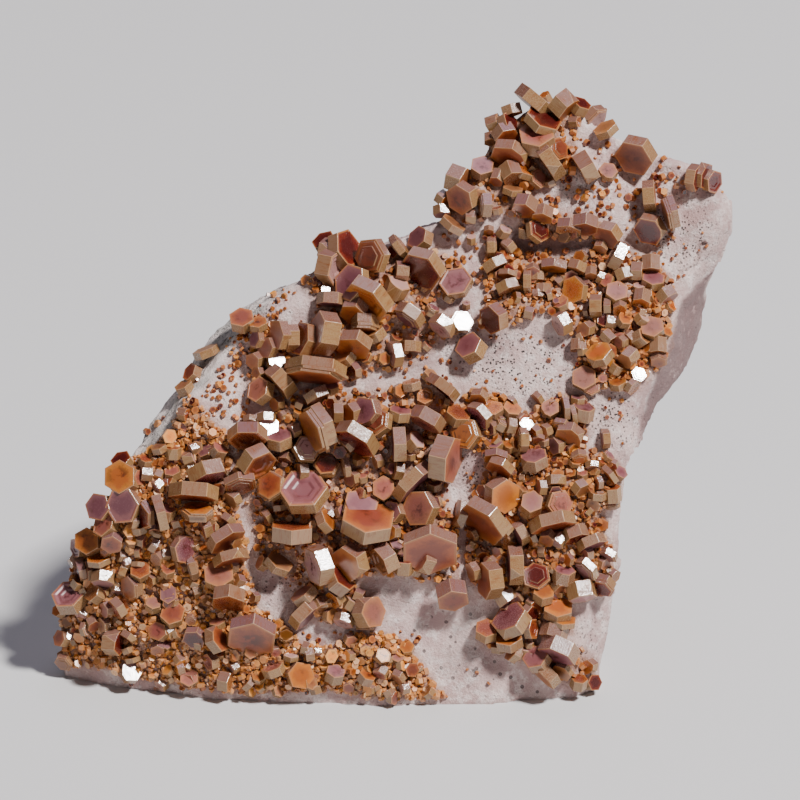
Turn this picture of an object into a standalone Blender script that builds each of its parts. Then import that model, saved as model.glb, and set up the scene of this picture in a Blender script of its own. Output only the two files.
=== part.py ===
"""Vanadinite on matrix: chalky barite rock with hexagonal vanadinite tablets on its display face.

The display face is laid out in a flat frame of its own, in millimetres: u runs right, v runs up the
face and w comes out of it. The face leans back by FACE_LEAN, so that the rock stands on its flat
underside at z = 0. Each crystal is listed as (u, v, across, thick, turn, lean, spin): across is
corner to corner, turn and lean, in degrees, say where the flat end of the tablet points, and spin
turns its six sides.
"""

import math

import bmesh
import bpy
import numpy as np
from mathutils import Matrix, Vector, noise
from mathutils.bvhtree import BVHTree
from mathutils.geometry import delaunay_2d_cdt

MM = 0.001
FACE_LEAN = math.radians(25.0)
# Where the middle of the finished bounding box lies before the rock is moved over its origin.
BOX_CENTRE_X_MM = -1.3
BOX_CENTRE_Y_MM = 27.99
# Clearance between neighbouring solids.
GAP_MM = 0.3
WELD_MM = 0.001
# How far the lowest crystals stay above the surface that the rock stands on.
FLOOR_CLEAR_MM = 0.4

# Rock: spacing of its rows up the face, and points across its front, its back and each side.
ROW_STEP_MM = 4.8
LOWEST_ROW_MM = -27.0
FRONT_POINTS = 21
BACK_POINTS = 7
SIDE_POINTS = 3
EDGE_ROUND_MM = 2.6
EDGE_FALL = 0.55
# Display face: how far it swells, how the top leans away, and how far its sides fall back.
FOOT_BLEND_MM = 40.0
SWELL_MM = 2.6
SWELL_TOP_MM = 80.0
TOP_LEAN_FROM_MM = 58.0
TOP_LEAN = 0.10
SIDE_FALL_FROM_MM = 22.0
SIDE_FALL = 0.0022
SIDE_FALL_CENTRE_MM = -2.0
# Roughness of the display face and of the broken back: (height, size of bumps).
FACE_ROUGHNESS = [(0.9, 9.0), (0.45, 3.6)]
BACK_ROUGHNESS = [(3.0, 15.0), (1.8, 6.5)]
# The back: the share of the depth that its sides take, the rest being its bulge, and their inset.
BACK_SIDE_SHARE = 0.86
BACK_INSET_SHARE = 0.24

# Crust of small crystals: grid step, mean depth, how much the depth varies, and how deep it is rooted.
CRUST_STEP_MM = 5.4
CRUST_DEPTH_MM = 1.3
CRUST_BUMP_MM = 0.6
CRUST_ROOT_MM = 1.2
CRUST_REACH_MM = 4.0
# The kind of triangulation that keeps only what lies inside its outline.
INSIDE_ONLY = 1
# How far a crystal stands out of the rock: always, and for each unit of width as it leans.
SEAT_LIFT_MM = 0.5
LEAN_LIFT = 0.30
# How far the ground falls for each millimetre past the rock's edge.
EDGE_DROP = 0.6
# Crystals further apart than this can't touch.
CLEAR_MARGIN_MM = 2.5

# Plain colour and roughness of the two minerals.
BARITE = ((0.62, 0.50, 0.47), 0.85)
VANADINITE = ((0.36, 0.14, 0.05), 0.3)

# Silhouette of the rock: (v, left u, right u).
ROCK_EDGES = [
    (-30, -50.0, 30.0), (-12, -52.5, 31.2), (-4, -54.0, 31.8), (3.0, -54.6, 32.0), (7.4, -54.6, 32.6),
    (11.4, -54.2, 33.3), (15.4, -53.8, 34.0), (19.4, -53.2, 34.4), (23.4, -51.6, 34.7),
    (27.4, -49.8, 35.2), (31.4, -47.4, 35.6), (35.4, -45.4, 35.9), (39.4, -43.6, 36.9),
    (43.4, -41.4, 38.8), (47.4, -38.9, 41.0), (51.4, -35.6, 43.4), (55.4, -32.8, 45.8),
    (59.4, -30.2, 47.2), (63.4, -26.6, 48.2), (66.0, -22.0, 49.0), (67.4, -17.8, 49.5),
    (70.4, -11.4, 50.6), (73.0, -6.4, 51.9), (74.6, -0.5, 52.7), (76.0, 5.6, 53.2), (79.4, 8.0, 53.6),
    (83.4, 10.8, 51.4), (85.6, 12.4, 49.4), (87.4, 13.6, 45.4), (89.0, 14.6, 41.4), (91.4, 15.8, 38.4),
    (94.0, 17.6, 35.0), (95.6, 19.6, 31.8), (96.6, 22.0, 29.5),
]
# Where the lower edge of the display face meets the floor: (u, v).
FOOT_LINE = [
    (-60, 5.6), (-55, 4.8), (-43, 3.0), (-32, 1.3), (-16, 0.35), (-2, 0.0), (8, 0.05), (16, 0.5),
    (24, 0.9), (29.6, 1.45), (34, 2.6),
]
# Depth of the rock behind its face: (v, depth).
ROCK_DEPTH = [(-30, 46), (0, 46), (30, 41), (55, 34), (75, 28), (88, 21), (97, 11)]
# Raised and sunken places: (u, v, radius along u, radius along v, height).
LUMPS = [
    (-17.6, 64.2, 5.0, 3.8, 2.6), (-4, 68, 12, 8, 2.6), (-30, 47.5, 5, 5, 1.8),
    (-26.5, 53.0, 4.0, 3.4, -1.2), (-6, 26, 12, 9, 1.6), (-7, 46, 13, 10, 1.4), (-45, 33, 7, 8, 2.2),
    (-44, 13, 11, 9, 1.2), (-24, 13, 9, 7, 1.6), (5, 12, 9, 8, -0.8), (17.2, 8.2, 3.0, 2.2, -1.6),
    (22.2, 4.0, 3.2, 2.0, -1.8), (26, 30, 9, 14, 1.8), (25, 10, 7, 7, 1.6), (21, 55, 9, 7, -0.6),
    (6, 55.5, 6, 4, -0.8), (33.5, 46, 4, 5, 0.5), (16, 66, 5, 5, 1.2), (36, 62, 7, 9, 1.4),
    (9, 37.6, 4, 4, -1.2), (20, 90, 9, 8, 1.8), (12, 80, 6, 5, 1.4), (43.3, 87.2, 3.4, 2.6, 1.6),
    (31, 81, 6, 5, 0.8), (44, 76, 7, 6, 0.6), (-20, 19, 5, 5, -1.0), (-36, 25, 8, 8, 0.8),
    (38.5, 76.5, 4, 3, -1.0), (29.5, 67.6, 6, 2.0, -1.4),
]
# Broken sides: left of the line from the first point to the second, the face falls by slope per mm.
SLOPES = [
    (-37.6, 43.4, -19.6, 67.2, 1.15), (37.2, 44.2, 31.6, 0.0, 0.75), (49.8, 72.0, 44.0, 64.4, 1.25),
    (44.0, 64.4, 36.9, 43.4, 1.2), (52.0, 84.0, 50.6, 71.0, 0.7),
]
SLOPE_END_SOFTNESS = 0.8
# Ledges: left of the line the face steps out by height, over about blend mm.
LEDGES = [
    (12.0, 76.8, 30.0, 74.2, 2.2, 3.0), (30.0, 74.2, 52.0, 72.0, 1.6, 3.0),
    (16.0, 84.0, 40.0, 83.0, -1.4, 4.0), (14.0, 69.5, 44.0, 66.5, -1.2, 4.0),
]
LEDGE_END_MM = 4.0

# Outlines of the crusts: (u, v).
CRUSTS = {
    "lower_left_druse": [
        (-54.8, 6.2), (-55.2, 14), (-54.2, 20), (-51.6, 27), (-48.2, 33), (-45.4, 38.3), (-41.5, 40.5),
        (-37.5, 43.0), (-36.0, 46.5), (-34.0, 50.0), (-31.2, 47.5), (-29.6, 45.5), (-27.0, 43.4),
        (-27.2, 40), (-27.4, 35.5), (-25.6, 30.5), (-24.4, 26.0), (-24.3, 21.5), (-22.3, 15.6),
        (-18.3, 13.2), (-15.5, 10.2), (-10.5, 9.6), (-7, 11.8), (-2, 12.0), (0.5, 10.2), (3.9, 6.2),
        (5.6, 3.4), (7.8, 1.4), (-3, 1.0), (-12, 2.6), (-19, 2.2), (-26, 1.9), (-33, 3.0), (-40, 3.9),
        (-47, 5.6),
    ],
    "centre_druse": [
        (-26.1, 44.6), (-21, 46.5), (-19, 49.2), (-14.5, 50.6), (-10, 51.2), (-5, 50.4), (2, 51.8),
        (6, 52.2), (9.3, 48.6), (8.4, 44.5), (8.4, 38), (7.0, 34), (9.4, 30.5), (9.6, 26), (9.4, 22.4),
        (9.6, 17.4), (7.4, 16.8), (5.6, 19.6), (1, 20.8), (-5, 20.8), (-7.5, 18.4), (-3.6, 16.8),
        (-2.6, 13.9), (-5, 12.6), (-9.2, 12.9), (-13.3, 13.6), (-17.4, 13.9), (-16.8, 18.4),
        (-19.6, 21.4), (-22.6, 23.0), (-23.2, 26.0), (-24.2, 30.5), (-26.2, 35.5), (-26.1, 40),
    ],
    "crest_druse": [
        (-15.6, 67.3), (-12.6, 72.6), (-8, 74.2), (-3, 74), (1.0, 73), (5.6, 73.0), (9.4, 71.6),
        (9.2, 66.8), (6.2, 65.6),
        (4.6, 63.4), (10.2, 62.6), (9.0, 59.6), (4.6, 57), (0.3, 53.8), (-3.4, 53.4), (-8, 52.6),
        (-13.5, 52.0), (-19.6, 50.0), (-23.4, 48.9), (-24.4, 52), (-24.2, 60.4), (-21.6, 61.8),
        (-18.5, 58.3), (-13.8, 61.2), (-13.4, 64.8),
    ],
    "right_druse": [
        (9.9, 50.0), (13.5, 50.6), (17.5, 49.4), (19.2, 46.6), (22.6, 47.9), (25.4, 50.3),
        (29.4, 49.5), (30.4, 45.6), (29.6, 41.3), (33.4, 40.6), (35.6, 37.6), (34.6, 33.5),
        (32.6, 31), (32.9, 27.6), (34, 25.0), (33.9, 20.6), (32.4, 17.9), (28.4, 17.3), (22.6, 17.8),
        (17.5, 17.0), (13.4, 17.6), (10.8, 20.8), (10.6, 26.9), (10.4, 31.5), (13.4, 36.8),
        (14.6, 39.6), (9.6, 41.4), (9.2, 43.9),
    ],
    "lower_right_cluster": [
        (12.0, 10.8), (12.8, 13.2), (15.4, 14.6), (18.0, 16.0), (22.4, 16.8), (27.4, 16.2),
        (27.6, 13.2), (27.9, 10.2), (30.9, 7.4), (31.4, 3.2), (28.0, 2.6), (25.4, 4.6), (22.6, 5.0),
        (19.8, 6.6), (17.6, 8.2), (14.7, 8.9),
    ],
    "upper_left_cluster": [
        (17.2, 96.0), (14.7, 91.8), (12.0, 87.6), (8.6, 84.6), (7.8, 81.4), (7.4, 77.6), (12, 77.4),
        (16.2, 78.6), (20.4, 76.0), (20.4, 74.2), (25.2, 74.8), (31.2, 74.3), (34.4, 74.4),
        (34.0, 76.4), (29.6, 78.4), (22.6, 79.6), (20.6, 82.4), (24.2, 83.4), (28, 84.6), (31.3, 86.0),
        (28.2, 89.2), (28.6, 96.2), (23.8, 97.2),
    ],
    "upper_right_cluster": [
        (13.4, 74.6), (18.8, 73.6), (23.8, 71.8), (28.6, 72.0), (33.8, 73.2), (40.6, 71.9),
        (43.9, 67.2), (43.4, 62), (42.6, 57), (40.6, 53.2), (37.4, 50.4), (33.6, 50.6), (28.2, 50.6),
        (27.8, 53.6), (29.6, 58), (25.4, 60.0), (23.8, 63.6), (17.4, 60.6), (12.6, 60.6),
        (13.6, 66.4), (13.3, 71),
    ],
}

# Crystals grown together in each druse: (u, v, across, thick, turn, lean, spin).
DRUSES = {
    "lower_left_druse": [
        (-53, 17.2, 5.6, 2.2, 115, 45, 0), (-47.4, 20.3, 4.6, 1.8, 265, 80, 30),
        (-43, 19.2, 4.4, 2, 200, 50, 0), (-36.3, 14.6, 4.6, 1.8, 75, 25, 0),
        (-45.8, 10.2, 4.6, 2.4, 355, 65, 30), (-47.8, 31.8, 5, 2, 170, 35, 0),
        (-44, 32.1, 5.8, 2, 185, 22, 0), (-44.4, 36.5, 5.6, 2, 150, 28, 0),
        (-46.9, 29, 4.4, 1.8, 150, 40, 0), (-49.8, 26.2, 4.6, 1.8, 150, 30, 0),
        (-38.3, 31, 6.4, 1.5, 195, 85, 0), (-40.9, 30.7, 4.6, 1.2, 200, 60, 0),
        (-34.6, 25.2, 5, 1.4, 350, 40, 0), (-30.8, 37.2, 7.2, 2.4, 290, 72, 0),
        (-32.9, 34.3, 8.2, 2.2, 265, 80, 30), (-32.3, 31.2, 5.6, 1.6, 90, 65, 30),
        (-27.8, 26.9, 6.4, 1.8, 303, 70, 30), (-27, 23.7, 5.6, 1.6, 285, 75, 30),
        (-28.9, 20.9, 5.4, 1.6, 95, 35, 0), (-27.3, 17.3, 6.4, 2.2, 265, 65, 0),
        (-23.6, 11.4, 8.2, 2.2, 262, 50, 0), (-29.2, 10.8, 4.8, 1.8, 20, 55, 0),
        (-16, 5, 4.8, 1.6, 350, 20, 0),
    ],
    "centre_druse": [
        (-15.3, 34.3, 8.6, 2.2, 105, 42, 15), (-14.9, 41.1, 4.8, 1.8, 185, 50, 0),
        (-22.9, 39.1, 6.6, 2.4, 310, 60, 0), (-25.5, 35.7, 6, 1.8, 280, 60, 0),
        (-20.5, 35.3, 5.4, 1.8, 150, 35, 0), (-24.3, 43.3, 6.6, 2, 270, 60, 30),
        (-17.2, 27.9, 7.4, 2.4, 88, 76, 0), (-19.4, 22.8, 5, 1.4, 55, 60, 0),
        (-12.9, 22.7, 7.6, 2.4, 185, 50, 0), (-15.1, 14.9, 6.2, 2, 315, 80, 30),
        (-15.2, 17.8, 5, 1.6, 130, 75, 0), (-9.6, 20.2, 5.4, 2.2, 40, 62, 0),
        (-5, 15.1, 5.2, 2.4, 5, 45, 0), (-5.2, 29.6, 9.6, 2.6, 80, 52, 0), (-6.3, 32, 5.8, 1.6, 75, 40, 0),
        (2, 36, 7.4, 2, 315, 82, 30), (3.3, 31.7, 6.4, 2.2, 182, 30, 0), (4.8, 25.2, 9.2, 2.2, 270, 45, 0),
        (4, 23.6, 5.2, 1.9, 165, 62, 0), (-2.4, 23.6, 5.8, 2.4, 210, 70, 0),
        (-7.9, 23.2, 6.6, 2.4, 215, 50, 0), (-13.2, 44.6, 8.6, 3, 205, 70, 0),
        (-5.3, 47.1, 5.6, 2, 170, 38, 0), (-3.4, 45.4, 5.2, 2.2, 150, 32, 0),
        (-6.8, 42.8, 8, 2.2, 240, 70, 30), (-0.2, 41.9, 6, 2, 182, 85, 0),
        (4.4, 45.9, 6.2, 2.2, 240, 75, 30), (7.2, 39.6, 8.4, 3, 347, 72, 0),
        (6.8, 51, 5.8, 1.7, 232, 82, 30), (8.3, 17.9, 5.2, 2.8, 280, 50, 0),
    ],
    "crest_druse": [
        (-12, 74.1, 4.4, 1.5, 120, 60, 0), (-11.4, 72.8, 4.4, 2.1, 350, 65, 30),
        (-11, 70.3, 6, 2.6, 348, 62, 30), (-8.9, 73, 6.6, 2, 20, 56, 0),
        (-4.4, 71.9, 6.8, 2.2, 185, 40, 0), (-7.6, 67.5, 6.4, 2, 160, 36, 0),
        (-4.9, 65.2, 8.4, 2.3, 231, 60, 0), (-0.2, 73.5, 4.6, 1.7, 38, 85, 30),
        (3.3, 74.6, 4.6, 1.8, 150, 55, 0), (3.6, 70, 7.4, 2.2, 235, 50, 0),
        (-11, 65, 5.2, 1.8, 266, 80, 30), (-12, 59.6, 7.2, 3, 172, 70, 30),
        (-7.3, 63.2, 5.2, 2, 250, 52, 0), (-5.6, 61.2, 4.8, 2.5, 268, 78, 30),
        (-7.2, 57.7, 6.2, 2, 252, 58, 0), (-0.8, 56.3, 4.4, 1.5, 188, 80, 30),
        (1.6, 62.5, 5.2, 2.6, 235, 74, 30), (6.8, 60.8, 5, 1.8, 235, 70, 30),
        (-15.3, 58.6, 5.6, 1.8, 165, 58, 0), (-17.2, 58.8, 4.6, 1.8, 180, 80, 30),
        (-19.3, 59.3, 5.8, 1.6, 180, 58, 0), (-13.5, 53.6, 10, 2.7, 262, 76, 30),
        (-19, 52, 6.2, 2.3, 222, 82, 30), (-22.2, 50.4, 4.4, 2, 150, 42, 0),
        (9, 67.6, 5.4, 1.8, 110, 25, 15),
    ],
    "right_druse": [
        (13.5, 29.8, 9, 2.2, 228, 66, 0), (15.9, 28.9, 5.2, 1.6, 228, 72, 0),
        (16.3, 33.9, 6.4, 2.4, 330, 36, 0), (16, 38.2, 4.8, 1.4, 240, 65, 0),
        (25.4, 32.4, 4.9, 1.6, 10, 25, 0), (24.3, 29.4, 7.4, 2, 283, 76, 30),
        (30.5, 26.2, 5, 1.6, 292, 78, 30), (18.4, 22.6, 6.8, 2.2, 182, 85, 30),
        (14.4, 20.2, 6.4, 2.4, 188, 68, 30), (28.9, 18.4, 5.2, 2.6, 285, 62, 30),
        (29.8, 22, 4.6, 1.8, 225, 62, 30), (21.4, 39.4, 4.8, 2, 100, 55, 0),
        (27, 43.4, 4.8, 1.8, 250, 50, 0), (12.7, 46.5, 4.6, 1.5, 220, 62, 30),
        (10.5, 43.6, 5.6, 2.2, 170, 25, 0),
    ],
    "lower_right_cluster": [
        (13.8, 12, 4.4, 1.6, 85, 50, 0), (17.8, 13.7, 6.8, 2.2, 130, 56, 0),
        (17.4, 10.6, 5, 1.7, 100, 52, 0), (21.9, 7.5, 4.6, 2, 125, 40, 0),
        (23.4, 5.1, 4.8, 1.8, 225, 80, 30), (25.4, 9, 6.8, 2.6, 246, 70, 30),
        (24.6, 11.9, 4.8, 2, 255, 78, 30), (26, 13.6, 4.6, 0.9, 82, 68, 0),
        (25.2, 15.4, 5, 1.8, 85, 45, 0),
    ],
    "upper_left_cluster": [
        (21.4, 97, 6.8, 2.1, 230, 88, 30), (26.2, 96.3, 5, 2.8, 315, 75, 0),
        (22.8, 93.6, 6.5, 1.5, 60, 62, 0), (22, 90.7, 6.2, 2.6, 100, 48, 0),
        (23.9, 87.2, 7, 2.2, 215, 88, 30), (29.7, 86.2, 6.6, 2.4, 210, 88, 0),
        (17.6, 88.3, 6, 1.9, 250, 55, 0), (9.2, 84.3, 4.8, 2.6, 340, 70, 0),
        (10, 81.3, 5.2, 2.2, 215, 40, 0), (13.6, 80.1, 5, 2, 180, 80, 0), (22, 76, 4.8, 1.6, 30, 45, 0),
        (29.6, 77, 5, 2, 265, 65, 0), (33.3, 75.4, 5, 2, 235, 50, 0),
    ],
    "upper_right_cluster": [
        (15.2, 70.6, 4.2, 1.6, 298, 80, 0), (17.2, 67, 4.6, 1.6, 292, 75, 0),
        (24.6, 70.4, 4.4, 1.4, 265, 70, 0), (15, 62, 5.6, 2, 205, 50, 0),
        (25.9, 61.2, 4.2, 1.8, 208, 70, 30), (28, 66.5, 4.4, 1.6, 170, 30, 30),
        (34.9, 72.1, 5.2, 1.8, 150, 80, 30), (34.6, 66, 4.2, 1.6, 80, 35, 0),
        (42.6, 65.7, 4.2, 1.8, 305, 75, 0), (31.9, 56.2, 4.8, 1.6, 120, 50, 0),
    ],
}
# Crystals that stand on bare rock, alone or grown into one another.
LONE_CRYSTALS = {
    "middle_lone_crystal": [(11.4, 57.2, 5, 2.2, 135, 52, 0)],
    "top_lone_crystals": [(31.2, 94.2, 4.4, 1.8, 315, 65, 30), (33, 92.2, 4, 1.3, 120, 60, 0)],
    "big_stepped_crystal": [(37.8, 88.2, 6.6, 2.6, 235, 40, 0)],
    "upper_pink_crystal": [(33.3, 85.4, 3.2, 1.2, 80, 30, 30)],
    "upright_crystal": [(39.9, 81.6, 4.9, 1.9, 5, 85, 30)],
    "leaning_pale_crystal": [(43.2, 79, 6.5, 1.8, 195, 85, 0)],
    "dark_red_crystal": [(40, 76.3, 5, 2, 235, 35, 0)],
    "top_right_trio": [
        (47, 84.6, 4.4, 1.6, 350, 70, 30), (48.6, 84.9, 4.4, 1.2, 345, 65, 0),
        (50, 84, 4.4, 1.2, 345, 55, 0),
    ],
    "left_slope_large_crystal": [(-25.2, 61.6, 4.2, 2.2, 100, 35, 0)],
    "left_slope_blade": [(-31, 56.6, 4.6, 1.3, 112, 80, 30)],
    "left_slope_lower_crystals": [
        (-33.2, 53.2, 3.2, 1.5, 150, 60, 0), (-34.4, 50.9, 3.6, 1.4, 120, 70, 0),
    ],
}


class FaceFrame:
    """Turns face coordinates in millimetres into the object's own axes in metres."""

    def __init__(self, lean):
        self.right = Vector((1, 0, 0))
        self.up = Vector((0, math.sin(lean), math.cos(lean)))
        self.out = Vector((0, -math.cos(lean), math.sin(lean)))
        self.shift = Vector((-BOX_CENTRE_X_MM, -BOX_CENTRE_Y_MM, 0))

    def place(self, u, v, w):
        return (self.right * u + self.up * v + self.out * w + self.shift) * MM

    def direction(self, turn, lean):
        flat = math.sin(lean)
        along_right = self.right * flat * math.cos(turn)
        along_up = self.up * flat * math.sin(turn)
        return (along_right + along_up + self.out * math.cos(lean)).normalized()


FACE = FaceFrame(FACE_LEAN)


def along(table, key, column=1):
    """The table's column at this key, straight between its rows."""
    keys = [row[0] for row in table]
    values = [row[column] for row in table]
    return float(np.interp(key, keys, values))


def wobble(u, v, size, seed):
    """Smooth noise between about -1 and 1, with bumps of this size."""
    return noise.noise(Vector((u / size, v / size, seed)))


def roughness(u, v, layers):
    return sum(height * wobble(u, v, size, size) for height, size in layers)


def line_offsets(u, v, u0, v0, u1, v1):
    """How far the point lies left of the line, and how far past the nearer end of the segment."""
    du, dv = u1 - u0, v1 - v0
    length = math.hypot(du, dv)
    left = (du * (v - v0) - dv * (u - u0)) / length
    forward = (du * (u - u0) + dv * (v - v0)) / length
    return left, max(-forward, forward - length)


def front_height(u, v):
    """w of the rock's display face."""
    rising = min(max(v, 0.0), SWELL_TOP_MM)
    foot = along(FOOT_LINE, u) / math.tan(FACE_LEAN) * max(0.0, 1.0 - v / FOOT_BLEND_MM)
    swell = SWELL_MM * math.sin(math.pi * rising / SWELL_TOP_MM)
    top_fall = TOP_LEAN * max(0.0, v - TOP_LEAN_FROM_MM)
    off_side = max(0.0, abs(u - SIDE_FALL_CENTRE_MM) - SIDE_FALL_FROM_MM)
    side_fall = SIDE_FALL * off_side**2 * min(1.0, rising / SIDE_FALL_FROM_MM)
    w = swell - foot - top_fall - side_fall
    for u0, v0, radius_u, radius_v, height in LUMPS:
        w += height * math.exp(-(((u - u0) / radius_u) ** 2) - ((v - v0) / radius_v) ** 2)
    for *line, slope in SLOPES:
        left, past_end = line_offsets(u, v, *line)
        w -= slope * max(0.0, left - SLOPE_END_SOFTNESS * max(0.0, past_end))
    for *line, height, blend in LEDGES:
        left, past_end = line_offsets(u, v, *line)
        step = 1.0 / (1.0 + math.exp(-3.0 * left / blend))
        w += height * step * math.exp(-((max(0.0, past_end) / LEDGE_END_MM) ** 2))
    return w + roughness(u, v, FACE_ROUGHNESS)


def new_object(name, builder, material=None):
    """An object from a finished bmesh."""
    mesh = bpy.data.meshes.new(name)
    builder.to_mesh(mesh)
    builder.free()
    if material:
        mesh.materials.append(material)
    obj = bpy.data.objects.new(name, mesh)
    bpy.context.scene.collection.objects.link(obj)
    return obj


def new_material(name, colour, roughness):
    material = bpy.data.materials.new(name)
    material.use_nodes = True
    surface = material.node_tree.nodes["Principled BSDF"]
    surface.inputs["Base Color"].default_value = (*colour, 1.0)
    surface.inputs["Roughness"].default_value = roughness
    surface.inputs["Metallic"].default_value = 0.0
    return material


def side_points(v, edge_u, back_u, front_w, back_w, seed):
    """Points down one side of the rock, from behind its front edge to its back edge."""
    points = []
    for i in range(1, SIDE_POINTS + 1):
        t = i / (SIDE_POINTS + 1)
        u = edge_u + (back_u - edge_u) * t**1.5 + 0.9 * wobble(t * 30, v, 7.0, seed)
        points.append((u, v, front_w + (back_w - front_w) * t))
    return points


def rock_row(v):
    """One closed loop round the rock: its front, its right side, its back and its left side."""
    left = along(ROCK_EDGES, v, 1) + 0.5 * wobble(11.0, v, 4.0, 1.3)
    right = along(ROCK_EDGES, v, 2) + 0.35 * wobble(31.0, v, 4.0, 5.9)
    depth = along(ROCK_DEPTH, v)
    front = []
    for i in range(FRONT_POINTS):
        u = left + (right - left) * i / (FRONT_POINTS - 1)
        near_edge = max(0.0, EDGE_ROUND_MM - min(u - left, right - u))
        front.append((u, v, front_height(u, v) - EDGE_FALL * near_edge**2 / EDGE_ROUND_MM))
    middle = front_height((left + right) / 2, v)
    inset = BACK_INSET_SHARE * min(depth, right - left)
    back_left, back_right = left + inset, right - inset
    back_edge = middle - depth * BACK_SIDE_SHARE
    back = []
    for i in range(BACK_POINTS):
        s = i / (BACK_POINTS - 1)
        u = back_right + (back_left - back_right) * s
        bulge = depth * (1.0 - BACK_SIDE_SHARE) * math.sin(math.pi * s)
        back.append((u, v, back_edge - bulge + roughness(u, v, BACK_ROUGHNESS)))
    right_side = side_points(v, right, back_right, front[-1][2], back_edge, 9.2)
    left_side = side_points(v, left, back_left, front[0][2], back_edge, 4.4)
    return front + right_side + back + left_side[::-1]


def build_rock(name, grow_mm=0.0, material=None):
    """The rock, lofted row by row and cut flat. grow_mm moves its skin out, to make a cutter."""
    builder = bmesh.new()
    highest = ROCK_EDGES[-1][0]
    count = round((highest - LOWEST_ROW_MM) / ROW_STEP_MM)
    rows = []
    for i in range(count + 1):
        v = LOWEST_ROW_MM + (highest - LOWEST_ROW_MM) * i / count
        rows.append([builder.verts.new(FACE.place(*point)) for point in rock_row(v)])
    for low, high in zip(rows, rows[1:]):
        for i in range(len(low)):
            j = (i + 1) % len(low)
            builder.faces.new((low[i], low[j], high[j], high[i]))
    for row in (rows[0], rows[-1]):
        builder.faces.new(row)
    bmesh.ops.poke(builder, faces=builder.faces[-2:])
    bmesh.ops.recalc_face_normals(builder, faces=builder.faces)
    builder.normal_update()
    for vert, normal in [(vert, vert.normal.copy()) for vert in builder.verts]:
        vert.co += normal * grow_mm * MM
    bmesh.ops.triangulate(builder, faces=builder.faces)
    everything = builder.verts[:] + builder.edges[:] + builder.faces[:]
    cut = bmesh.ops.bisect_plane(
        builder, geom=everything, plane_co=Vector(), plane_no=Vector((0, 0, -1)), clear_outer=True
    )
    rim = [item for item in cut["geom_cut"] if isinstance(item, bmesh.types.BMEdge)]
    bmesh.ops.holes_fill(builder, edges=rim)
    bmesh.ops.recalc_face_normals(builder, faces=builder.faces)
    return new_object(name, builder, material)


class RockFace:
    """Finds how far out the rock's face stands along a line of sight."""

    FAR_MM = 60.0
    INSET_MM = 1.0

    def __init__(self, rock):
        self.tree = BVHTree.FromObject(rock, bpy.context.evaluated_depsgraph_get())

    def height(self, u, v):
        """w of the rock at this place, or of its nearest edge for a place just off it."""
        low = along(ROCK_EDGES, v, 1) + self.INSET_MM
        high = along(ROCK_EDGES, v, 2) - self.INSET_MM
        beside = min(max(u, low), high)
        for rise in (0, 1, -1, 2, -2, 3, -3, 5, 8):
            origin = FACE.place(beside, v + rise, self.FAR_MM)
            hit = self.tree.ray_cast(origin, -FACE.out)[0]
            if hit is not None:
                drop = EDGE_DROP * (abs(u - beside) + abs(rise))
                return self.FAR_MM - (origin - hit).length / MM - drop
        raise ValueError(f"no rock at {u}, {v}")


def tablet(name, face, crystal, grow_mm=0.0, material=None):
    """A listed crystal: a six-sided tablet seated in the rock, standing out as far as it leans."""
    u, v, across, thick, turn, lean, spin = crystal
    turn, lean, spin = math.radians(turn), math.radians(lean), math.radians(spin)
    lift = 0.5 * thick * math.cos(lean) + LEAN_LIFT * across * math.sin(lean) + SEAT_LIFT_MM
    axis = FACE.direction(turn, lean)
    side = (FACE.up * math.cos(turn) - FACE.right * math.sin(turn)).normalized()
    columns = Matrix((side, axis.cross(side), axis)).transposed().to_4x4()
    place = Matrix.Translation(FACE.place(u, v, face.height(u, v) + lift))
    radius = (across / 2 + grow_mm) * MM
    builder = bmesh.new()
    bmesh.ops.create_cone(
        builder,
        cap_ends=True,
        segments=6,
        radius1=radius,
        radius2=radius,
        depth=(thick + 2 * grow_mm) * MM,
        matrix=place @ columns @ Matrix.Rotation(spin, 4, "Z"),
    )
    return new_object(name, builder, material)


def crust(name, face, outline, material):
    """A bumpy layer over the rock inside the outline, as deep as its small crystals stand tall."""
    points = [Vector(point) for point in outline]
    low_u, high_u = min(u for u, v in outline), max(u for u, v in outline)
    low_v, high_v = min(v for u, v in outline), max(v for u, v in outline)
    for j in range(1, int((high_v - low_v) / CRUST_STEP_MM) + 1):
        for i in range(1, int((high_u - low_u) / CRUST_STEP_MM) + 1):
            point = Vector((low_u + i * CRUST_STEP_MM, low_v + j * CRUST_STEP_MM))
            if all((point - Vector(corner)).length > CRUST_STEP_MM / 2 for corner in outline):
                points.append(point)
    loop = [tuple(range(len(outline)))]
    points, _, triangles, *_ = delaunay_2d_cdt(points, [], loop, INSIDE_ONLY, 0.01)
    builder = bmesh.new()
    verts = {}
    for i in {i for triangle in triangles for i in triangle}:
        u, v = points[i]
        depth = CRUST_DEPTH_MM + CRUST_BUMP_MM * wobble(u, v, 2.3, 41.0)
        verts[i] = builder.verts.new(FACE.place(u, v, face.height(u, v) + depth))
    for triangle in triangles:
        builder.faces.new([verts[i] for i in triangle])
    grown = bmesh.ops.extrude_face_region(builder, geom=builder.faces[:], use_keep_orig=True)
    roots = [item for item in grown["geom"] if isinstance(item, bmesh.types.BMVert)]
    bmesh.ops.translate(builder, verts=roots, vec=-FACE.out * (CRUST_DEPTH_MM + CRUST_ROOT_MM) * MM)
    bmesh.ops.recalc_face_normals(builder, faces=builder.faces)
    bmesh.ops.triangulate(builder, faces=builder.faces)
    return new_object(name, builder, material)


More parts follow.
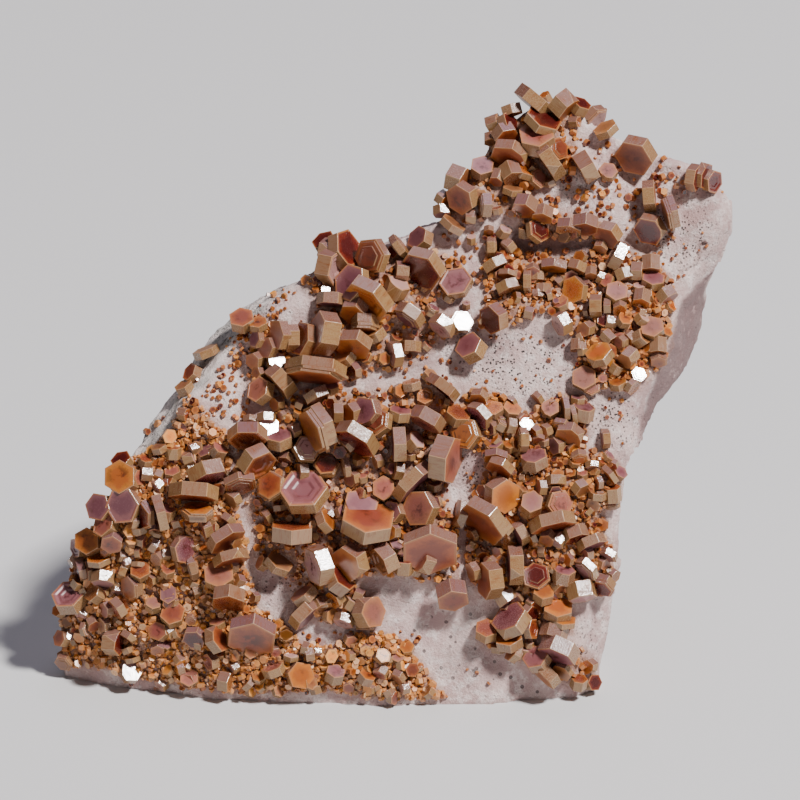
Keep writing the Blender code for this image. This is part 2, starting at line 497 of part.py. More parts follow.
def combine(target, tool, operation, keep_tool=False):
    """Applies one Boolean to target, and removes the tool unless it is kept.

    The exact solver loses whole druses here, where the rock's skin grazes their many small facets.
    """
    modifier = target.modifiers.new(operation, "BOOLEAN")
    modifier.operation = operation
    modifier.solver = "MANIFOLD"
    modifier.object = tool
    depsgraph = bpy.context.evaluated_depsgraph_get()
    before = target.data
    target.data = bpy.data.meshes.new_from_object(target.evaluated_get(depsgraph))
    target.modifiers.clear()
    bpy.data.meshes.remove(before)
    if not keep_tool:
        remove(tool)


def remove(obj):
    mesh = obj.data
    bpy.data.objects.remove(obj)
    bpy.data.meshes.remove(mesh)


def weld(obj):
    """Merges the near-coincident points that cutting leaves, which the next cut could trip over."""
    builder = bmesh.new()
    builder.from_mesh(obj.data)
    bmesh.ops.remove_doubles(builder, verts=builder.verts, dist=WELD_MM * MM)
    bmesh.ops.dissolve_degenerate(builder, edges=builder.edges, dist=WELD_MM * MM)
    bmesh.ops.triangulate(builder, faces=builder.faces)
    builder.to_mesh(obj.data)
    builder.free()


def keep_largest_island(obj):
    """Drops the chips that cutting leaves, so that the solid stays one body."""
    builder = bmesh.new()
    builder.from_mesh(obj.data)
    left, islands = set(builder.faces), []
    while left:
        todo, island = [left.pop()], []
        while todo:
            face = todo.pop()
            island.append(face)
            found = {near for edge in face.edges for near in edge.link_faces} & left
            left -= found
            todo.extend(found)
        islands.append(island)
    islands.sort(key=lambda island: sum(face.calc_area() for face in island))
    for island in islands[:-1]:
        bmesh.ops.delete(builder, geom=island, context="FACES")
    builder.to_mesh(obj.data)
    builder.free()


def floor_cutter():
    """A slab whose top lies just above the surface that the rock stands on."""
    thick, wide = 0.05, 0.4
    builder = bmesh.new()
    place = Matrix.Translation((0, 0, FLOOR_CLEAR_MM * MM - thick / 2))
    bmesh.ops.create_cube(builder, size=1.0, matrix=place @ Matrix.Diagonal((wide, wide, thick, 1.0)))
    return new_object("floor_cutter", builder)


def close_to(crystal, others):
    """Whether the crystal could reach any of the others."""
    for other in others:
        reach = (crystal[2] + other[2]) / 2 + CLEAR_MARGIN_MM
        if math.hypot(crystal[0] - other[0], crystal[1] - other[1]) < reach:
            return True
    return False


def build_crystals(face, rock_cutter, floor):
    """Every lone crystal, then every druse, each clear of the rock, the floor and the others."""
    groups = {**LONE_CRYSTALS, **DRUSES}
    done = []
    for name, own in groups.items():
        others = {other: crystals for other, crystals in groups.items() if other != name}
        material = new_material(f"{name}_vanadinite", *VANADINITE)
        if name in CRUSTS:
            solid = crust(name, face, CRUSTS[name], material)
            border = [(u, v, CRUST_REACH_MM) for u, v in CRUSTS[name]]
            for crystals in others.values():
                cut_clear(solid, face, crystals, border)
            for crystal in own:
                combine(solid, tablet("tool", face, crystal), "UNION")
        else:
            solid = tablet(name, face, own[0], material=material)
            for crystal in own[1:]:
                combine(solid, tablet("tool", face, crystal), "UNION")
        for other in done:
            cut_clear(solid, face, others[other], own)
        for tool in (rock_cutter, floor):
            weld(solid)
            combine(solid, tool, "DIFFERENCE", keep_tool=True)
        weld(solid)
        keep_largest_island(solid)
        done.append(name)


def cut_clear(solid, face, crystals, own):
    """Takes these crystals, grown by the gap, out of the solid wherever they come near its own."""
    for crystal in crystals:
        if close_to(crystal, own):
            combine(solid, tablet("tool", face, crystal, GAP_MM), "DIFFERENCE")


def main():
    for obj in list(bpy.data.objects):
        bpy.data.objects.remove(obj)
    rock = build_rock("matrix", material=new_material("matrix_barite", *BARITE))
    face = RockFace(rock)
    rock_cutter = build_rock("rock_cutter", GAP_MM)
    floor = floor_cutter()
    build_crystals(face, rock_cutter, floor)
    remove(rock_cutter)
    remove(floor)


main()
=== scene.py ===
"""Vanadinite on matrix: glossy hexagonal tablets in druses over a slab of chalky barite.

The display face is laid out in a flat frame of its own, in millimetres: u runs right, v runs up the
face and w comes out of it. Every listed crystal is (u, v, across, thick, turn, lean, spin, tint): turn
and lean, in degrees, say where the flat end of the tablet points, and spin turns its six sides.
"""

from __future__ import annotations

import logging
import math
import random
from collections.abc import Callable, Iterator
from dataclasses import dataclass, field
from enum import Enum

import bmesh
import bpy
import numpy as np
from mathutils import Matrix, Vector, noise
from mathutils.bvhtree import BVHTree

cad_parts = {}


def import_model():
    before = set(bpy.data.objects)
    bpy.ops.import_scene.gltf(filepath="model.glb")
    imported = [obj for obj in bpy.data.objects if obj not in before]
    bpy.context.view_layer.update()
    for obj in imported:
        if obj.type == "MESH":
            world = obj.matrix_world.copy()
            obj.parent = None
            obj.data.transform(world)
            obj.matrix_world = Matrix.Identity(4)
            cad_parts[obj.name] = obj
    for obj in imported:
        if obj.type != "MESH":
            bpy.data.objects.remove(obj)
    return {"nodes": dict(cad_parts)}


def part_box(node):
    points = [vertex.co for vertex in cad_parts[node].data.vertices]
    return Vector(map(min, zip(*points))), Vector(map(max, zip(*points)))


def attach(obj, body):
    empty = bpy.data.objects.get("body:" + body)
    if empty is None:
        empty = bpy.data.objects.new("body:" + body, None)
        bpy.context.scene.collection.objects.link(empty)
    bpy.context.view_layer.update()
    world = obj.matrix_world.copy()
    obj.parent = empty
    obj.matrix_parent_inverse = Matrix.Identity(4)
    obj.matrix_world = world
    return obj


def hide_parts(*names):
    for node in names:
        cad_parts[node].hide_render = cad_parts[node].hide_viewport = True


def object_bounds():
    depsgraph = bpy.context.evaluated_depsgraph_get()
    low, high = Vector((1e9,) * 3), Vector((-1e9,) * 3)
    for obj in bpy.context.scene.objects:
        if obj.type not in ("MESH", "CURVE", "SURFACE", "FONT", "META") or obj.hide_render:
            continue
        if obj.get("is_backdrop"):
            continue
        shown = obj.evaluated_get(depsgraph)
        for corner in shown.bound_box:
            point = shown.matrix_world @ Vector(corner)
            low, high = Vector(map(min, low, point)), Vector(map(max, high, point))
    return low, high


LOG = logging.getLogger("vanadinite")

MM = 0.001
FACE_LEAN = math.radians(25.0)
BOX_CENTRE_X_MM = -1.3
BOX_CENTRE_Y_MM = 27.99
FLOOR_CLEAR_MM = 0.1

Colour = tuple[float, float, float]
Point = tuple[float, float]
Point3 = tuple[float, float, float]
Noise = tuple[float, ...]
Crystal = tuple[float, float, float, float, float, float, float, str]

# Outlines of the druses on the display face: (u, v).
OUTLINES: dict[str, list[Point]] = {
    "lower_left_druse": [
        (-54.8, 6.2), (-55.2, 14), (-54.2, 20), (-51.6, 27), (-48.2, 33), (-45.4, 38.3), (-41.5, 40.5),
        (-37.5, 43.0), (-36.0, 46.5), (-34.0, 50.0), (-31.2, 47.5), (-29.6, 45.5), (-27.0, 43.4),
        (-27.2, 40), (-27.4, 35.5), (-25.6, 30.5), (-24.4, 26.0), (-24.3, 21.5), (-22.3, 15.6),
        (-18.3, 13.2), (-15.5, 10.2), (-10.5, 9.6), (-7, 11.8), (-2, 12.0), (0.5, 10.2), (3.9, 6.2),
        (5.6, 3.4), (7.8, 1.4), (-3, 1.0), (-12, 2.6), (-19, 2.2), (-26, 1.9), (-33, 3.0), (-40, 3.9),
        (-47, 5.6),
    ],
    "centre_druse": [
        (-26.1, 44.6), (-21, 46.5), (-19, 49.2), (-14.5, 50.6), (-10, 51.2), (-5, 50.4), (2, 51.8),
        (6, 52.2), (9.3, 48.6), (8.4, 44.5), (8.4, 38), (7.0, 34), (9.4, 30.5), (9.6, 26), (9.4, 22.4),
        (9.6, 17.4), (7.4, 16.8), (5.6, 19.6), (1, 20.8), (-5, 20.8), (-7.5, 18.4), (-3.6, 16.8),
        (-2.6, 13.9), (-5, 12.6), (-9.2, 12.9), (-13.3, 13.6), (-17.4, 13.9), (-16.8, 18.4),
        (-19.6, 21.4), (-22.6, 23.0), (-23.2, 26.0), (-24.2, 30.5), (-26.2, 35.5), (-26.1, 40),
    ],
    "crest_druse": [
        (-15.6, 67.3), (-12.6, 72.6), (-8, 74.2), (-3, 74), (1.0, 73), (5.6, 73.0), (9.4, 71.6),
        (9.2, 66.8), (6.2, 65.6),
        (4.6, 63.4), (10.2, 62.6), (9.0, 59.6), (4.6, 57), (0.3, 53.8), (-3.4, 53.4), (-8, 52.6),
        (-13.5, 52.0), (-19.6, 50.0), (-23.4, 48.9), (-24.4, 52), (-24.2, 60.4), (-21.6, 61.8),
        (-18.5, 58.3), (-13.8, 61.2), (-13.4, 64.8),
    ],
    "right_druse": [
        (9.9, 50.0), (13.5, 50.6), (17.5, 49.4), (19.2, 46.6), (22.6, 47.9), (25.4, 50.3),
        (29.4, 49.5), (30.4, 45.6), (29.6, 41.3), (33.4, 40.6), (35.6, 37.6), (34.6, 33.5),
        (32.6, 31), (32.9, 27.6), (34, 25.0), (33.9, 20.6), (32.4, 17.9), (28.4, 17.3), (22.6, 17.8),
        (17.5, 17.0), (13.4, 17.6), (10.8, 20.8), (10.6, 26.9), (10.4, 31.5), (13.4, 36.8),
        (14.6, 39.6), (9.6, 41.4), (9.2, 43.9),
    ],
    "lower_right_cluster": [
        (12.0, 10.8), (12.8, 13.2), (15.4, 14.6), (18.0, 16.0), (22.4, 16.8), (27.4, 16.2),
        (27.6, 13.2), (27.9, 10.2), (30.9, 7.4), (31.4, 3.2), (28.0, 2.6), (25.4, 4.6), (22.6, 5.0),
        (19.8, 6.6), (17.6, 8.2), (14.7, 8.9),
    ],
    "upper_left_cluster": [
        (17.2, 96.0), (14.7, 91.8), (12.0, 87.6), (8.6, 84.6), (7.8, 81.4), (7.4, 77.6), (12, 77.4),
        (16.2, 78.6), (20.4, 76.0), (20.4, 74.2), (25.2, 74.8), (31.2, 74.3), (34.4, 74.4),
        (34.0, 76.4), (29.6, 78.4), (22.6, 79.6), (20.6, 82.4), (24.2, 83.4), (28, 84.6), (31.3, 86.0),
        (28.2, 89.2), (28.6, 96.2), (23.8, 97.2),
    ],
    "upper_right_cluster": [
        (13.4, 74.6), (18.8, 73.6), (23.8, 71.8), (28.6, 72.0), (33.8, 73.2), (40.6, 71.9),
        (43.9, 67.2), (43.4, 62), (42.6, 57), (40.6, 53.2), (37.4, 50.4), (33.6, 50.6), (28.2, 50.6),
        (27.8, 53.6), (29.6, 58), (25.4, 60.0), (23.8, 63.6), (17.4, 60.6), (12.6, 60.6),
        (13.6, 66.4), (13.3, 71),
    ],
}

# Crystals of each druse.
DRUSE_CRYSTALS: dict[str, list[Crystal]] = {
    "lower_left_druse": [
        (-53, 17.2, 5.6, 2.2, 115, 45, 0, "m"), (-54.7, 15, 2.4, 1.2, 150, 50, 0, "o"),
        (-51.5, 19.6, 3, 1.4, 60, 60, 0, "t"), (-51.2, 21.6, 4.2, 1.2, 195, 80, 0, "r"),
        (-49.9, 21.6, 3.8, 1, 190, 78, 0, "b"), (-47.4, 20.3, 4.6, 1.8, 265, 80, 30, "w"),
        (-48.8, 17.9, 3.4, 1.8, 150, 50, 0, "t"), (-43, 19.2, 4.4, 2, 200, 50, 0, "o"),
        (-45.3, 18.6, 2.2, 1, 270, 70, 0, "w"), (-45.2, 15.7, 3.8, 1.4, 215, 75, 0, "p"),
        (-47, 15.4, 3, 1.2, 200, 60, 0, "p"), (-37, 17.9, 3.2, 1.2, 90, 15, 0, "m"),
        (-36.3, 14.6, 4.6, 1.8, 75, 25, 0, "b"), (-38.5, 11.9, 3.6, 1.6, 160, 30, 0, "p"),
        (-45.8, 10.2, 4.6, 2.4, 355, 65, 30, "r"), (-43.5, 11, 3.2, 1.1, 235, 80, 0, "t"),
        (-43.6, 9, 2.4, 1, 115, 80, 0, "t"), (-42.8, 7.4, 3, 0.8, 105, 80, 0, "t"),
        (-43.2, 5.3, 4, 1.6, 60, 45, 0, "w"), (-38.8, 9.2, 2.8, 1.2, 270, 50, 0, "o"),
        (-37.2, 9.7, 2, 1, 90, 30, 0, "m"), (-38.2, 3.4, 2.4, 1.2, 225, 75, 0, "w"),
        (-33.7, 4.4, 3.2, 1.3, 90, 20, 0, "p"), (-32.8, 11, 3.8, 1.6, 250, 35, 0, "r"),
        (-54.3, 10.6, 3, 1.4, 170, 50, 0, "b"), (-54, 6.8, 3, 1.4, 240, 50, 0, "t"),
        (-32.6, 18.6, 2.4, 1.2, 200, 80, 30, "t"), (-37.1, 21.8, 2.8, 1.4, 80, 40, 0, "b"),
        (-33.1, 22, 4, 1.6, 198, 85, 30, "t"), (-41.5, 21.6, 3.6, 1.5, 90, 30, 0, "b"),
        (-43.7, 22.9, 2.4, 1.4, 190, 80, 30, "w"), (-41.9, 22.6, 2.4, 0.8, 265, 80, 0, "p"),
        (-51, 14.6, 2.6, 1, 250, 60, 0, "w"), (-50.5, 12.2, 2.6, 1.2, 0, 60, 0, "w"),
        (-52.9, 11, 2, 1.2, 90, 40, 0, "w"), (-47.5, 13, 3, 1.2, 200, 60, 0, "t"),
        (-39.4, 16.2, 3, 1.6, 80, 40, 0, "p"), (-47.8, 31.8, 5, 2, 170, 35, 0, "m"),
        (-44, 32.1, 5.8, 2, 185, 22, 0, "m"), (-44.4, 36.5, 5.6, 2, 150, 28, 0, "o"),
        (-44.4, 39.1, 3.8, 1.4, 120, 50, 0, "r"), (-42, 36.6, 3, 1.6, 0, 50, 0, "p"),
        (-46.9, 29, 4.4, 1.8, 150, 40, 0, "p"), (-46, 26.4, 3.8, 2, 260, 40, 0, "b"),
        (-49.8, 26.2, 4.6, 1.8, 150, 30, 0, "o"), (-51.6, 25.3, 3.4, 1.2, 190, 60, 0, "m"),
        (-51.6, 23.3, 3.2, 1.4, 90, 30, 30, "w"), (-40.5, 37.2, 2.6, 1.8, 0, 80, 30, "w"),
        (-40.6, 39.2, 2.6, 1.2, 80, 60, 0, "b"), (-38.4, 41.2, 3, 1, 110, 70, 0, "t"),
        (-36.2, 40.5, 3, 1.8, 90, 75, 30, "b"), (-33.6, 39.6, 2.6, 1.7, 20, 75, 30, "w"),
        (-32.9, 41.3, 2.2, 1.5, 200, 60, 0, "w"), (-38.3, 31, 6.4, 1.5, 195, 85, 0, "t"),
        (-37.3, 30.9, 3, 1.8, 80, 60, 30, "m"), (-40.9, 30.7, 4.6, 1.2, 200, 60, 0, "r"),
        (-42.6, 29.6, 2.6, 1.2, 180, 60, 0, "t"), (-41.6, 28.3, 2.6, 1.1, 100, 70, 0, "t"),
        (-38.9, 27.9, 2.4, 1.1, 60, 60, 0, "t"), (-35.5, 28.2, 2, 1.2, 150, 60, 0, "t"),
        (-34.6, 25.2, 5, 1.4, 350, 40, 0, "m"), (-37.5, 24.2, 2.2, 1.3, 180, 80, 30, "w"),
        (-39.4, 25.8, 2.8, 1.2, 150, 80, 0, "t"), (-44.5, 24, 2.2, 1.2, 170, 70, 0, "t"),
        (-48.2, 23.4, 4, 1, 100, 60, 0, "o"), (-48.3, 22.2, 2.6, 1.2, 230, 50, 0, "b"),
        (-36.3, 37.2, 2.8, 1.4, 100, 50, 0, "p"), (-38.6, 35.3, 2.4, 1.4, 225, 70, 0, "w"),
        (-37, 35.3, 2.4, 1, 180, 75, 0, "o"), (-30.8, 37.2, 7.2, 2.4, 290, 72, 0, "m"),
        (-32.9, 34.3, 8.2, 2.2, 265, 80, 30, "b"), (-32.3, 31.2, 5.6, 1.6, 90, 65, 30, "o"),
        (-30.9, 28.6, 3.4, 1.4, 200, 80, 0, "p"), (-27.5, 29.8, 3.2, 1.2, 230, 75, 0, "p"),
        (-27.8, 26.9, 6.4, 1.8, 303, 70, 30, "b"), (-27, 23.7, 5.6, 1.6, 285, 75, 30, "b"),
        (-28.9, 40.9, 3.4, 1.6, 60, 60, 0, "p"), (-30.8, 40.6, 3, 1.4, 130, 50, 0, "m"),
        (-28.9, 20.9, 5.4, 1.6, 95, 35, 0, "p"), (-27.3, 17.3, 6.4, 2.2, 265, 65, 0, "b"),
        (-23.6, 11.4, 8.2, 2.2, 262, 50, 0, "b"), (-20.7, 12.3, 2.2, 1.2, 90, 40, 0, "m"),
        (-29.2, 10.8, 4.8, 1.8, 20, 55, 0, "b"), (-30.2, 7.2, 3, 1.4, 200, 60, 0, "p"),
        (-29.2, 13.4, 3, 1.2, 100, 50, 0, "p"), (-27.9, 3.9, 3.4, 1.8, 350, 70, 0, "t"),
        (-24.2, 3.6, 2.8, 1, 140, 80, 0, "t"), (-20.2, 5.8, 4.2, 1.4, 112, 70, 30, "p"),
        (-16, 5, 4.8, 1.6, 350, 20, 0, "o"), (-10.4, 5, 3.2, 2, 75, 45, 0, "m"),
        (-5.4, 4.6, 3.2, 1.5, 60, 60, 0, "o"), (-3.3, 7.2, 1.7, 0.8, 90, 20, 0, "m"),
        (-0.3, 7.8, 2.2, 1, 90, 25, 0, "p"), (-0.4, 4.6, 3, 1.2, 230, 60, 0, "t"),
        (0.8, 2.9, 2.2, 1.2, 190, 60, 30, "w"), (-13.3, 8.7, 2.2, 1.2, 270, 70, 30, "w"),
        (-26.5, 6.3, 2, 1.2, 200, 60, 0, "w"), (-17.4, 8, 2.6, 0.9, 85, 60, 0, "w"),
        (2.9, 6.1, 1.6, 0.9, 100, 60, 0, "o"), (4.5, 2.2, 2.4, 1, 140, 60, 0, "t"),
    ],
    "centre_druse": [
        (-15.3, 34.3, 8.6, 2.2, 105, 42, 15, "m"), (-11.6, 38.5, 4.4, 1.6, 60, 25, 0, "r"),
        (-15.5, 37.4, 3, 1.4, 180, 75, 0, "t"), (-14.9, 41.1, 4.8, 1.8, 60, 35, 0, "w"),
        (-19.2, 42.7, 4.2, 2, 95, 55, 0, "m"), (-18.2, 39.6, 3, 1.2, 250, 60, 0, "r"),
        (-22.9, 39.1, 6.6, 2.4, 310, 60, 0, "b"), (-25.5, 35.7, 6, 1.8, 280, 60, 0, "b"),
        (-20.5, 35.3, 5.4, 1.8, 150, 35, 0, "b"), (-24.3, 43.3, 6.6, 2, 270, 60, 30, "b"),
        (-26.7, 33.2, 3.2, 1.4, 220, 60, 0, "t"), (-17.2, 27.9, 7.4, 2.4, 88, 76, 0, "b"),
        (-11.9, 29.6, 4.2, 1.5, 30, 70, 0, "o"), (-21.2, 30.4, 2.8, 1, 215, 80, 0, "t"),
        (-19.4, 22.8, 5, 1.4, 55, 60, 0, "t"), (-12.9, 22.7, 7.6, 2.4, 185, 50, 0, "w"),
        (-15.1, 14.9, 6.2, 2, 315, 80, 30, "m"), (-15.2, 17.8, 5, 1.6, 130, 75, 0, "p"),
        (-12.6, 16, 3.6, 1.6, 300, 60, 0, "t"), (-9.6, 20.2, 5.4, 2.2, 40, 62, 0, "r"),
        (-10.3, 17.4, 3.4, 1.6, 220, 60, 0, "o"), (-5, 15.1, 5.2, 2.4, 5, 45, 0, "p"),
        (-7.9, 16.4, 2.6, 1.7, 60, 75, 30, "w"), (-8.9, 13.8, 3.8, 1.4, 250, 80, 30, "w"),
        (-5.6, 12.8, 2.8, 1.1, 268, 85, 30, "t"), (-5.2, 29.6, 9.6, 2.6, 80, 52, 0, "b"),
        (-6.3, 32, 5.8, 1.6, 75, 40, 0, "m"), (-1, 31.1, 3.8, 1.8, 170, 35, 0, "m"),
        (-2.6, 34.8, 4.4, 1.4, 90, 14, 0, "p"), (2, 36, 7.4, 2, 315, 82, 30, "m"),
        (3.3, 31.7, 6.4, 2.2, 182, 30, 0, "p"), (4.8, 25.2, 9.2, 2.2, 270, 45, 0, "b"),
        (4, 23.6, 5.2, 1.9, 165, 62, 0, "p"), (-2.4, 23.6, 5.8, 2.4, 210, 70, 0, "t"),
        (0.6, 22.7, 3.8, 2.4, 85, 60, 30, "m"), (-7.9, 23.2, 6.6, 2.4, 215, 50, 0, "o"),
        (-13.2, 44.6, 8.6, 3, 205, 70, 0, "o"), (-9.9, 46.9, 3.8, 1.5, 180, 85, 0, "t"),
        (-7.7, 47, 3.4, 1.6, 200, 55, 0, "o"), (-5.3, 47.1, 5.6, 2, 170, 38, 0, "m"),
        (-3.4, 45.4, 5.2, 2.2, 150, 32, 0, "b"), (0, 46.7, 3.8, 1.6, 80, 68, 0, "m"),
        (-6.8, 42.8, 8, 2.2, 240, 70, 30, "r"), (-8.6, 41.8, 3.6, 1, 225, 80, 0, "t"),
        (-0.2, 41.9, 6, 2, 182, 85, 0, "m"), (2.2, 42.2, 3.6, 1.8, 40, 60, 30, "w"),
        (1.7, 40, 2, 1, 90, 70, 0, "w"), (4.4, 45.9, 6.2, 2.2, 240, 75, 30, "p"),
        (7.2, 39.6, 8.4, 3, 347, 72, 0, "p"), (6.8, 51, 5.8, 1.7, 232, 82, 30, "r"),
        (4.7, 52.8, 2.6, 1.2, 60, 60, 0, "t"), (1.9, 51.3, 3.2, 1.3, 100, 75, 0, "t"),
        (4, 49.3, 2.8, 1.2, 90, 30, 0, "o"), (-8.6, 38.2, 3.4, 1.3, 190, 80, 0, "t"),
        (-6.8, 39.5, 2, 1, 90, 50, 0, "o"), (-3.5, 39.2, 2.6, 1.2, 200, 70, 0, "t"),
        (-0.3, 37.6, 3.4, 1.4, 170, 75, 0, "t"), (5.7, 37.4, 2.8, 1.6, 120, 60, 0, "t"),
        (5.5, 35.3, 2.4, 1.2, 90, 60, 0, "m"), (9.6, 30.8, 4.6, 1.4, 165, 75, 0, "t"),
        (-13.3, 49.7, 4.2, 1.6, 297, 80, 0, "t"), (-11, 51, 3, 1.3, 90, 50, 0, "m"),
        (-19.6, 48.4, 2.4, 1.4, 200, 50, 0, "o"), (-18.8, 46.5, 1.8, 1.1, 200, 60, 0, "p"),
        (-21.3, 46, 3.4, 1.4, 268, 78, 30, "w"), (-21, 44.7, 3.6, 1, 90, 45, 0, "w"),
        (-24, 45.8, 2.6, 1, 270, 70, 0, "o"), (-16.8, 44.1, 2.6, 1.4, 200, 60, 0, "w"),
        (8.3, 17.9, 5.2, 2.8, 280, 50, 0, "b"),
    ],
    "crest_druse": [
        (-12, 74.1, 4.4, 1.5, 120, 60, 0, "r"), (-11.4, 72.8, 4.4, 2.1, 350, 65, 30, "w"),
        (-11, 70.3, 6, 2.6, 348, 62, 30, "w"), (-8.9, 73, 6.6, 2, 20, 56, 0, "r"),
        (-4.4, 71.9, 6.8, 2.2, 185, 40, 0, "b"), (-7.6, 67.5, 6.4, 2, 160, 36, 0, "m"),
        (-4.9, 65.2, 8.4, 2.3, 231, 60, 0, "o"), (-0.6, 66.8, 4, 2.4, 60, 60, 30, "w"),
        (0.3, 69.6, 3, 2, 175, 80, 30, "t"), (-0.2, 73.5, 4.6, 1.7, 38, 85, 30, "t"),
        (3.3, 74.6, 4.6, 1.8, 150, 55, 0, "m"), (3.6, 70, 7.4, 2.2, 235, 50, 0, "r"),
        (-11, 65, 5.2, 1.8, 266, 80, 30, "m"), (-12, 66.4, 1.8, 1.2, 90, 40, 0, "w"),
        (-12, 59.6, 7.2, 3, 172, 70, 30, "p"), (-7.3, 63.2, 5.2, 2, 250, 52, 0, "o"),
        (-5.6, 61.2, 4.8, 2.5, 268, 78, 30, "t"), (-3.9, 59.4, 3.8, 1.6, 120, 70, 0, "t"),
        (-7.2, 57.7, 6.2, 2, 252, 58, 0, "o"), (-8.7, 55.6, 3.2, 1.6, 130, 60, 0, "t"),
        (-0.8, 56.3, 4.4, 1.5, 188, 80, 30, "w"), (1.7, 57.5, 3.6, 1.7, 268, 85, 30, "t"),
        (1.6, 62.5, 5.2, 2.6, 235, 74, 30, "m"), (5.1, 63.2, 2.4, 1.5, 60, 70, 30, "m"),
        (6.8, 60.8, 5, 1.8, 235, 70, 30, "w"), (10, 61.4, 3.8, 1.8, 60, 30, 0, "w"),
        (-15.3, 58.6, 5.6, 1.8, 165, 58, 0, "r"), (-17.2, 58.8, 4.6, 1.8, 180, 80, 30, "t"),
        (-19.3, 59.3, 5.8, 1.6, 180, 58, 0, "p"), (-21.1, 57.3, 4.2, 1.4, 180, 50, 0, "p"),
        (-22.9, 58.7, 3, 1.2, 170, 50, 0, "m"), (-22.6, 61, 3.2, 1.2, 100, 50, 0, "o"),
        (-23.1, 55.3, 3.2, 1.4, 200, 50, 0, "o"), (-22.6, 53.2, 2.4, 1.2, 180, 50, 0, "o"),
        (-19.8, 55.2, 3, 1.4, 100, 35, 0, "w"), (-13.5, 53.6, 10, 2.7, 262, 76, 30, "b"),
        (-19, 52, 6.2, 2.3, 222, 82, 30, "t"), (-22.2, 50.4, 4.4, 2, 150, 42, 0, "p"),
        (-7.4, 53.6, 3.4, 1.2, 200, 60, 0, "r"), (7.8, 65.4, 2.4, 1.4, 60, 60, 30, "w"),
        (9, 67.6, 5.4, 1.8, 110, 25, 15, "m"), (10.6, 64.1, 1.5, 1, 90, 50, 0, "w"),
    ],
    "right_druse": [
        (13.5, 29.8, 9, 2.2, 228, 66, 0, "b"), (15.9, 28.9, 5.2, 1.6, 228, 72, 0, "o"),
        (16.3, 33.9, 6.4, 2.4, 330, 36, 0, "o"), (16, 38.2, 4.8, 1.4, 240, 65, 0, "b"),
        (21, 32.3, 4.2, 1.8, 80, 32, 0, "p"), (25.4, 32.4, 4.9, 1.6, 10, 25, 0, "p"),
        (24.3, 29.4, 7.4, 2, 283, 76, 30, "b"), (23.5, 27, 3, 1.6, 250, 50, 0, "o"),
        (25.3, 26.6, 2.8, 1.6, 230, 70, 30, "w"), (28, 27.5, 4.2, 1.9, 290, 70, 30, "r"),
        (30.5, 26.2, 5, 1.6, 292, 78, 30, "m"), (19.2, 27.7, 4.2, 1.5, 210, 76, 30, "m"),
        (20.8, 27, 2.8, 1, 215, 70, 0, "o"), (16.5, 27, 3.4, 1.4, 250, 55, 0, "t"),
        (18.4, 22.6, 6.8, 2.2, 182, 85, 30, "m"), (14.4, 20.2, 6.4, 2.4, 188, 68, 30, "b"),
        (11.7, 21.6, 3.6, 1.2, 200, 70, 0, "t"), (17, 17.4, 3.8, 1.8, 305, 80, 30, "w"),
        (21.8, 20.8, 4.4, 1.6, 100, 18, 0, "r"), (26.1, 21, 3.8, 2.2, 80, 60, 30, "m"),
        (25.6, 19.2, 3, 1.4, 300, 60, 0, "t"), (28.9, 18.4, 5.2, 2.6, 285, 62, 30, "w"),
        (32.5, 19.3, 4.2, 1.8, 240, 60, 0, "r"), (29.8, 22, 4.6, 1.8, 225, 62, 30, "w"),
        (29.7, 24.4, 2.8, 1.4, 200, 50, 0, "p"), (33.2, 24.2, 3.2, 1.2, 240, 60, 0, "w"),
        (34, 20.9, 2.6, 1.4, 330, 60, 0, "t"), (22.9, 18, 4.2, 1.8, 80, 45, 0, "o"),
        (33.8, 34, 3.4, 2.4, 95, 70, 30, "b"), (33.8, 32.2, 2.8, 1.4, 275, 75, 30, "t"),
        (35, 37.2, 2.8, 1.2, 45, 50, 0, "m"), (33.4, 37, 3.8, 0.9, 220, 80, 0, "o"),
        (30.8, 38.5, 2.4, 1, 270, 75, 0, "w"), (29.1, 37, 2, 1.2, 90, 50, 0, "p"),
        (24.9, 36.1, 3.4, 1.5, 272, 78, 30, "t"), (28.8, 34.9, 3, 1.6, 310, 60, 0, "t"),
        (31.5, 33.8, 2.8, 1.2, 85, 70, 30, "t"), (22.6, 35, 2.6, 1.2, 180, 70, 0, "p"),
        (19.6, 34.5, 2.4, 1.2, 60, 60, 0, "t"), (21.4, 39.4, 4.8, 2, 100, 55, 0, "m"),
        (25, 41.8, 3.2, 1.6, 200, 50, 0, "m"), (27, 43.4, 4.8, 1.8, 250, 50, 0, "o"),
        (25.8, 44.6, 3.8, 1.4, 240, 55, 0, "o"), (28.6, 39.9, 3.2, 1.6, 280, 50, 0, "o"),
        (23, 42.4, 2, 1, 90, 60, 0, "w"), (19.6, 42.6, 3.8, 1.8, 180, 80, 30, "t"),
        (17.6, 44.9, 3.2, 1.4, 170, 70, 0, "t"), (16.3, 44.9, 2.6, 1.8, 60, 65, 30, "w"),
        (14.6, 44.6, 2.6, 1.2, 200, 50, 0, "m"), (12.7, 46.5, 4.6, 1.5, 220, 62, 30, "m"),
        (10.5, 43.6, 5.6, 2.2, 170, 25, 0, "o"), (9.2, 46.4, 4.4, 1.8, 70, 52, 0, "b"),
        (12.6, 49.3, 3.4, 1.4, 250, 50, 0, "o"), (15, 47.3, 3.2, 1.4, 100, 40, 0, "o"),
        (17.8, 47.3, 3.2, 1.4, 60, 30, 0, "o"), (24, 47.5, 3.2, 1.4, 90, 22, 0, "p"),
        (26.4, 47.6, 4.4, 0.9, 185, 82, 0, "t"), (27.6, 46.6, 3.6, 0.8, 190, 82, 0, "t"),
        (29.2, 47, 3.8, 2.2, 80, 65, 30, "m"), (28.4, 49, 2.6, 1, 85, 70, 0, "m"),
        (20.1, 45, 2.4, 1, 60, 50, 0, "w"), (15.3, 41.8, 2.6, 1.2, 110, 45, 0, "m"),
